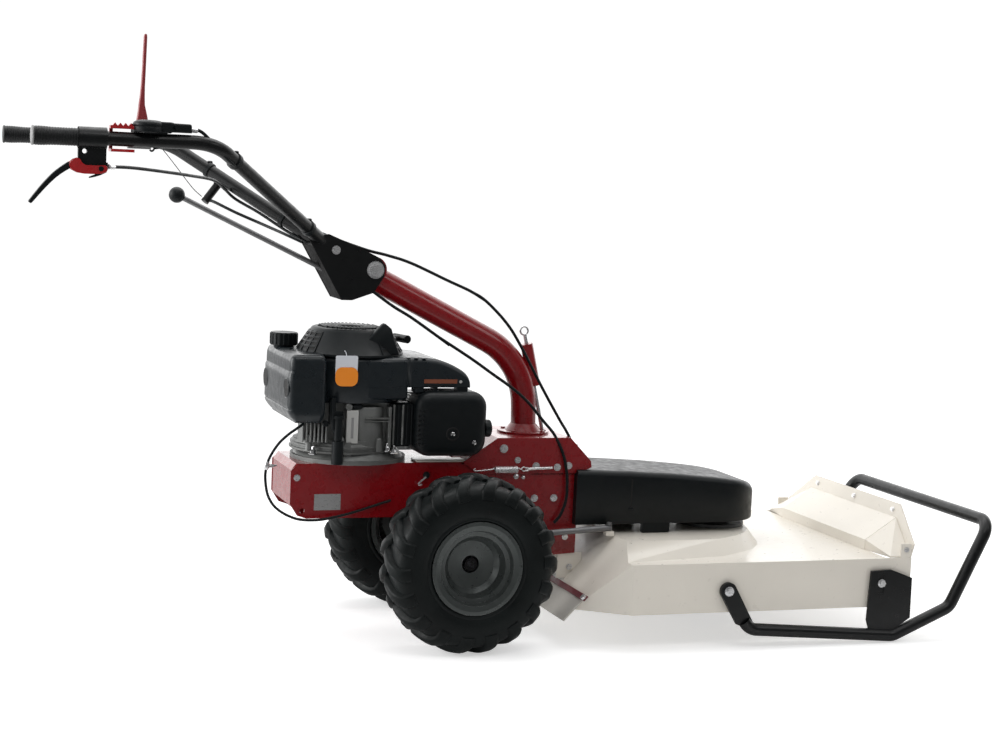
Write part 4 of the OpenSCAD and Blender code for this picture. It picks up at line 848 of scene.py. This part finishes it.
# ------------------------------------------------------------------ small fittings on the near side plate
b = Build()
b.disc((-51, -80, 318), (-51, -92, 318), [(0, 6.5), (6, 6.5), (8, 5.5), (12, 3)], 20, 1)
b.tube(curve([(-51, -89, 318), (-57, -90, 313), (-63, -90, 308), (-68, -89, 303), (-66, -88, 299.5), (-61, -88, 301)], 5), 1.7, 8, 0)
b.block((168, -80.9, 315.5), (262, -79.5, 318), 0.6, 2)
for x, z, r in ((135, 313, 4.2), (150, 311, 2.6)):
    b.disc((x, -80, z), (x, -85, z), [(0, r + 1.6), (1, r + 1.6), (1.2, r), (4, r), (5, r - 1)], 6, 0)
b.done("visual_side_fittings", [MATS["zinc"], MATS["black_plastic"], MATS["red_paint"]], "chassis", "zinc", 36)

# dark block behind the slot in each skid plate: painted shade seen through the slot
b = Build()
for s in (-1, 1):
    b.block((844, s * 273.2, 97), (864, s * 276.4, 144), 0.5, 0)
b.done("visual_skid_slot_shade", [MATS["black_paint"]], "skid", "black_paint", 36)

# ------------------------------------------------------------------ coil spring with hooks
b = Build()
coil = []
turns, n = 15, 14
for i in range(turns * n + 1):
    a = 2 * math.pi * i / n
    coil.append((87 + 46 * i / (turns * n), -91 + 5.6 * math.cos(a), 328 + 5.6 * math.sin(a)))
b.tube(coil, 1.45, 7)
b.tube(curve([(87, -86, 328), (84, -90, 331), (80, -91, 329), (60, -91, 327), (46, -91, 326.4), (43, -91, 329), (46, -91, 331.5)], 6), 1.3, 8)
b.tube(curve([(133, -86, 328), (136, -90, 331), (140, -91, 329), (146, -91, 333), (152, -91, 329), (147, -91, 325), (142, -91, 328)], 6), 1.3, 8)
b.tube([(150, -91, 329), (206, -91, 331)], 2.6, 10)
b.disc((150, -91, 329), (156, -91, 329.2), [(0, 2.6), (0.5, 4.4), (5, 4.4), (5.5, 2.6)], 6)
sp = b.done("visual_tension_spring", MATS["zinc"], "chassis", "zinc", 60)
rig.replaces(sp, "tension_spring")

# ------------------------------------------------------------------ cables
BLK = MATS["black_plastic"]


def cable(name, pts, r, body=None, blend=None, k=8, ferrules=()):
    b = Build()
    c = curve(pts, k)
    b.tube(c, r, 12, 0)
    for idx, rr, ln in ferrules:
        p = Vector(pts[idx])
        q = Vector(pts[idx + 1]) if idx + 1 < len(pts) and idx >= 0 else Vector(pts[idx - 1])
        d = (q - p).normalized()
        b.disc(p - d * 1.5, p + d * ln, [(0, rr * 0.7), (1, rr), (ln - 2, rr), (ln, rr * 0.75)], 14, 1)
    o = b.done(name, [BLK, MATS["zinc"]], body, "black_plastic", 40)
    if blend:
        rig.blend(o, blend[0], blend[1], start=[v * MM for v in blend[2]], end=[v * MM for v in blend[3]])
    return o


HC = ("handle", "column", (-290, 0, 770), (-60, 0, 690))
CC = ("column", "chassis", (60, 0, 660), (240, 0, 420))
# throttle cable, then down the column to the gearbox side
c1 = cable("visual_cable_throttle", [(-559, -252, 957), (-543, -252, 956), (-526, -250, 943), (-503, -244, 920), (-480, -232, 902), (-458, -202, 893), (-435, -169, 884), (-359, -102, 832), (-292, -48, 790), (-255, -32, 773), (-177, -30, 748), (-132, -30, 738), (-83, -30, 724), (-7, -30, 692), (39, -30, 673), (71, -32, 655)], 3.0,
           blend=HC, ferrules=((0, 4.4, 14),))
c2 = cable("visual_cable_throttle_lower", [(39, -30, 673), (71, -32, 655), (115, -35, 613), (146, -40, 568), (196, -44, 482), (234, -48, 420), (244, -56, 402), (253, -62, 382), (255, -66, 359), (253, -68, 330)], 3.0,
           blend=CC)
c3 = cable("visual_cable_clutch", [(-698, -252, 888), (-649, -200, 887), (-577, -120, 881), (-517, -40, 875), (-456, 60, 867), (-420, 130, 850), (-392, 152, 830), (-352, 118, 806), (-310, 72, 776), (-262, 20, 745), (-190, -30, 690), (-122, -36, 643), (-80, -36, 619), (-24, -40, 582), (-2, -41, 567)], 3.0,
           blend=("handle", "column", (-290, 0, 770), (-80, 0, 600)), ferrules=((0, 4.4, 18),))
c4 = cable("visual_cable_clutch_lower", [(-24, -40, 582), (40, -46, 543), (87, -48, 512), (132, -52, 482), (163, -58, 455), (191, -66, 422), (211, -80, 396), (227, -88, 362), (236, -90, 330), (240, -90, 298), (239, -90, 266), (229, -90, 237), (216, -89, 220)], 3.0,
           blend=("column", "chassis", (-20, 0, 600), (240, 0, 400)))
c5 = cable("visual_cable_stop", [(-442, 171, 826), (-432, 150, 822), (-398, 120, 805), (-356, 90, 787), (-323, 30, 771), (-292, 6, 757)], 3.0, body="handle")
c6 = cable("visual_wire_stop", [(-538, 190, 926), (-531, 178, 918), (-507, 175, 889), (-474, 175, 849), (-455, 174, 832)], 0.8, body="handle")
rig.replaces(c1, "cables_handle")
c7 = cable("visual_cable_engine", [(-300, -90, 420), (-314, -97, 412), (-330, -98, 401), (-348, -98, 384), (-363, -98, 361), (-370, -98, 341), (-372, -98, 317), (-365, -98, 283), (-346, -98, 258), (-311, -98, 240), (-272, -96, 236), (-237, -93, 240), (-199, -90, 248), (-157, -88, 260), (-122, -86, 270)], 2.6, body="chassis")
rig.replaces(c7, "cables_chassis")
b = Build()
b.disc((-369.5, -98, 350), (-371, -98, 334), [(0, 2.8), (1, 4.6), (5, 5.2), (11, 5.2), (15, 4), (16, 2.8)], 14, 0)
b.disc((-366, -98, 341), (-350, -92, 341), [(0, 3.4), (8, 3.4), (12, 2.2), (17, 1.8)], 10, 0)
b.done("visual_cable_clip", [MATS["zinc"]], "chassis", "zinc", 40)

# ------------------------------------------------------------------ stage, light, camera
def plane(name, z, r):
    me = bpy.data.meshes.new(name)
    n = 64
    me.from_pydata([(r * math.cos(2 * math.pi * i / n), r * math.sin(2 * math.pi * i / n), z) for i in range(n)], [], [list(range(n))])
    o = bpy.data.objects.new(name, me)
    bpy.context.scene.collection.objects.link(o)
    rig.stage(o)
    return o


floor = plane("floor", -0.0005, 40)
fm = bpy.data.materials.new("floor_white")
fm.use_nodes = True
nt = fm.node_tree
nt.nodes.clear()
out = nt.nodes.new("ShaderNodeOutputMaterial")
dif = nt.nodes.new("ShaderNodeBsdfDiffuse")
dif.inputs["Color"].default_value = (0.86, 0.86, 0.86, 1)
em = nt.nodes.new("ShaderNodeEmission")
em.inputs["Color"].default_value = (1, 1, 1, 1)
em.inputs["Strength"].default_value = 0.30
flp = nt.nodes.new("ShaderNodeLightPath")
emr = nt.nodes.new("ShaderNodeMapRange")
emr.inputs["To Min"].default_value = 0.05
emr.inputs["To Max"].default_value = 0.50
nt.links.new(flp.outputs["Is Camera Ray"], emr.inputs["Value"])
nt.links.new(emr.outputs[0], em.inputs["Strength"])
add = nt.nodes.new("ShaderNodeAddShader")
nt.links.new(dif.outputs[0], add.inputs[0])
nt.links.new(em.outputs[0], add.inputs[1])
nt.links.new(add.outputs[0], out.inputs[0])
floor.data.materials.append(fm)

world = bpy.data.worlds.new("studio")
bpy.context.scene.world = world
world.use_nodes = True
nt = world.node_tree
nt.nodes.clear()
out = nt.nodes.new("ShaderNodeOutputWorld")
cam_bg = nt.nodes.new("ShaderNodeBackground")
cam_bg.inputs["Color"].default_value = (1, 1, 1, 1)
cam_bg.inputs["Strength"].default_value = 1.05
lit = nt.nodes.new("ShaderNodeBackground")
tc = nt.nodes.new("ShaderNodeTexCoord")
sep = nt.nodes.new("ShaderNodeSeparateXYZ")
nt.links.new(tc.outputs["Generated"], sep.inputs[0])


def mrange(tree, src, a, b, lo, hi):
    n = tree.nodes.new("ShaderNodeMapRange")
    n.interpolation_type = "SMOOTHSTEP"
    for k, v in (("From Min", a), ("From Max", b), ("To Min", lo), ("To Max", hi)):
        n.inputs[k].default_value = v
    tree.links.new(src, n.inputs["Value"])
    return n.outputs[0]


def fmath(tree, op, a, b):
    n = tree.nodes.new("ShaderNodeMath")
    n.operation = op
    for i, v in enumerate((a, b)):
        if isinstance(v, (int, float)):
            n.inputs[i].default_value = v
        else:
            tree.links.new(v, n.inputs[i])
    return n.outputs[0]


# Reflections see a dark room on the near side and a bright wall behind and to the rear; diffuse light is more even.
gl = fmath(nt, "MAXIMUM", mrange(nt, sep.outputs["Y"], -0.25, 0.55, 0.10, 1.9), mrange(nt, sep.outputs["X"], -0.98, -0.55, 1.6, 0.0))
gl = fmath(nt, "MAXIMUM", gl, mrange(nt, sep.outputs["Z"], 0.55, 0.95, 0.0, 1.1))
di = fmath(nt, "ADD", mrange(nt, sep.outputs["Y"], -1, 1, 0.07, 0.62), mrange(nt, sep.outputs["Z"], 0, 1, 0.0, 0.3))
di = fmath(nt, "ADD", di, mrange(nt, sep.outputs["X"], -1, -0.3, 0.5, 0.0))
lp = nt.nodes.new("ShaderNodeLightPath")
pick = nt.nodes.new("ShaderNodeMix")
nt.links.new(lp.outputs["Is Glossy Ray"], pick.inputs["Factor"])
nt.links.new(di, pick.inputs[2])
nt.links.new(gl, pick.inputs[3])
lit.inputs["Color"].default_value = (1, 1, 1, 1)
nt.links.new(pick.outputs[0], lit.inputs["Strength"])
mx = nt.nodes.new("ShaderNodeMixShader")
nt.links.new(lp.outputs["Is Camera Ray"], mx.inputs[0])
nt.links.new(lit.outputs[0], mx.inputs[1])
nt.links.new(cam_bg.outputs[0], mx.inputs[2])
nt.links.new(mx.outputs[0], out.inputs[0])

# the floor's near part also looks dark in reflections
ft = fm.node_tree
geo = ft.nodes.new("ShaderNodeNewGeometry")
fs = ft.nodes.new("ShaderNodeSeparateXYZ")
ft.links.new(geo.outputs["Position"], fs.inputs[0])
fl = ft.nodes.new("ShaderNodeLightPath")
near = fmath(ft, "MULTIPLY", mrange(ft, fs.outputs["Y"], -1.1, -0.35, 0.93, 0.0), fl.outputs["Is Glossy Ray"])
de = ft.nodes.new("ShaderNodeEmission")
de.inputs["Strength"].default_value = 0.08
fx = ft.nodes.new("ShaderNodeMixShader")
ft.links.new(near, fx.inputs[0])
ft.links.new(add.outputs[0], fx.inputs[1])
ft.links.new(de.outputs[0], fx.inputs[2])
fo = [n for n in ft.nodes if n.type == "OUTPUT_MATERIAL"][0]
ft.links.new(fx.outputs[0], fo.inputs[0])


def softbox(name, loc, target, size, power, shape="RECTANGLE", size_y=None):
    li = bpy.data.lights.new(name, "AREA")
    li.shape = shape
    li.size = size
    li.size_y = size_y or size
    li.energy = power
    o = bpy.data.objects.new(name, li)
    bpy.context.scene.collection.objects.link(o)
    o.location = loc
    o.rotation_mode = "QUATERNION"
    o.rotation_quaternion = (Vector(target) - Vector(loc)).to_track_quat("-Z", "Y")
    return o


softbox("top", (0.2, 0.5, 3.2), (0.1, 0, 0.3), 3.4, 34, size_y=1.6)
softbox("rear", (-3.4, 0.5, 1.3), (-0.2, 0, 0.5), 1.4, 58, size_y=2.0)
softbox("front_right", (2.6, -2.2, 2.6), (0.4, 0, 0.3), 1.2, 10, size_y=1.2)
softbox("near_top", (-0.2, -2.6, 3.4), (0.2, 0, 0.2), 2.6, 17, size_y=0.9)

az, el, roll = math.radians(-19.698), math.radians(6.275), math.radians(2.638)
back = Vector((math.sin(az) * math.cos(el), -math.cos(az) * math.cos(el), math.sin(el)))
right = Vector((math.cos(az), math.sin(az), 0))
up = back.cross(right)
R = right * math.cos(roll) + up * math.sin(roll)
U = up * math.cos(roll) - right * math.sin(roll)
cd = bpy.data.cameras.new("camera")
cd.lens = 70.5037
cd.sensor_width = 36
cam = bpy.data.objects.new("camera", cd)
bpy.context.scene.collection.objects.link(cam)
cam.matrix_world = Matrix(((R.x, U.x, back.x, -1.188), (R.y, U.y, back.y, -3.654), (R.z, U.z, back.z, 0.931), (0, 0, 0, 1)))
bpy.context.scene.camera = cam
bpy.context.scene.view_settings.view_transform = "Standard"
bpy.context.scene.view_settings.look = "None"

lo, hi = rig.bounds()
with open("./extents.json", "w") as fh:
    json.dump({"cad": [list(cad_lo), list(cad_hi)], "visual": [list(lo), list(hi)]}, fh)
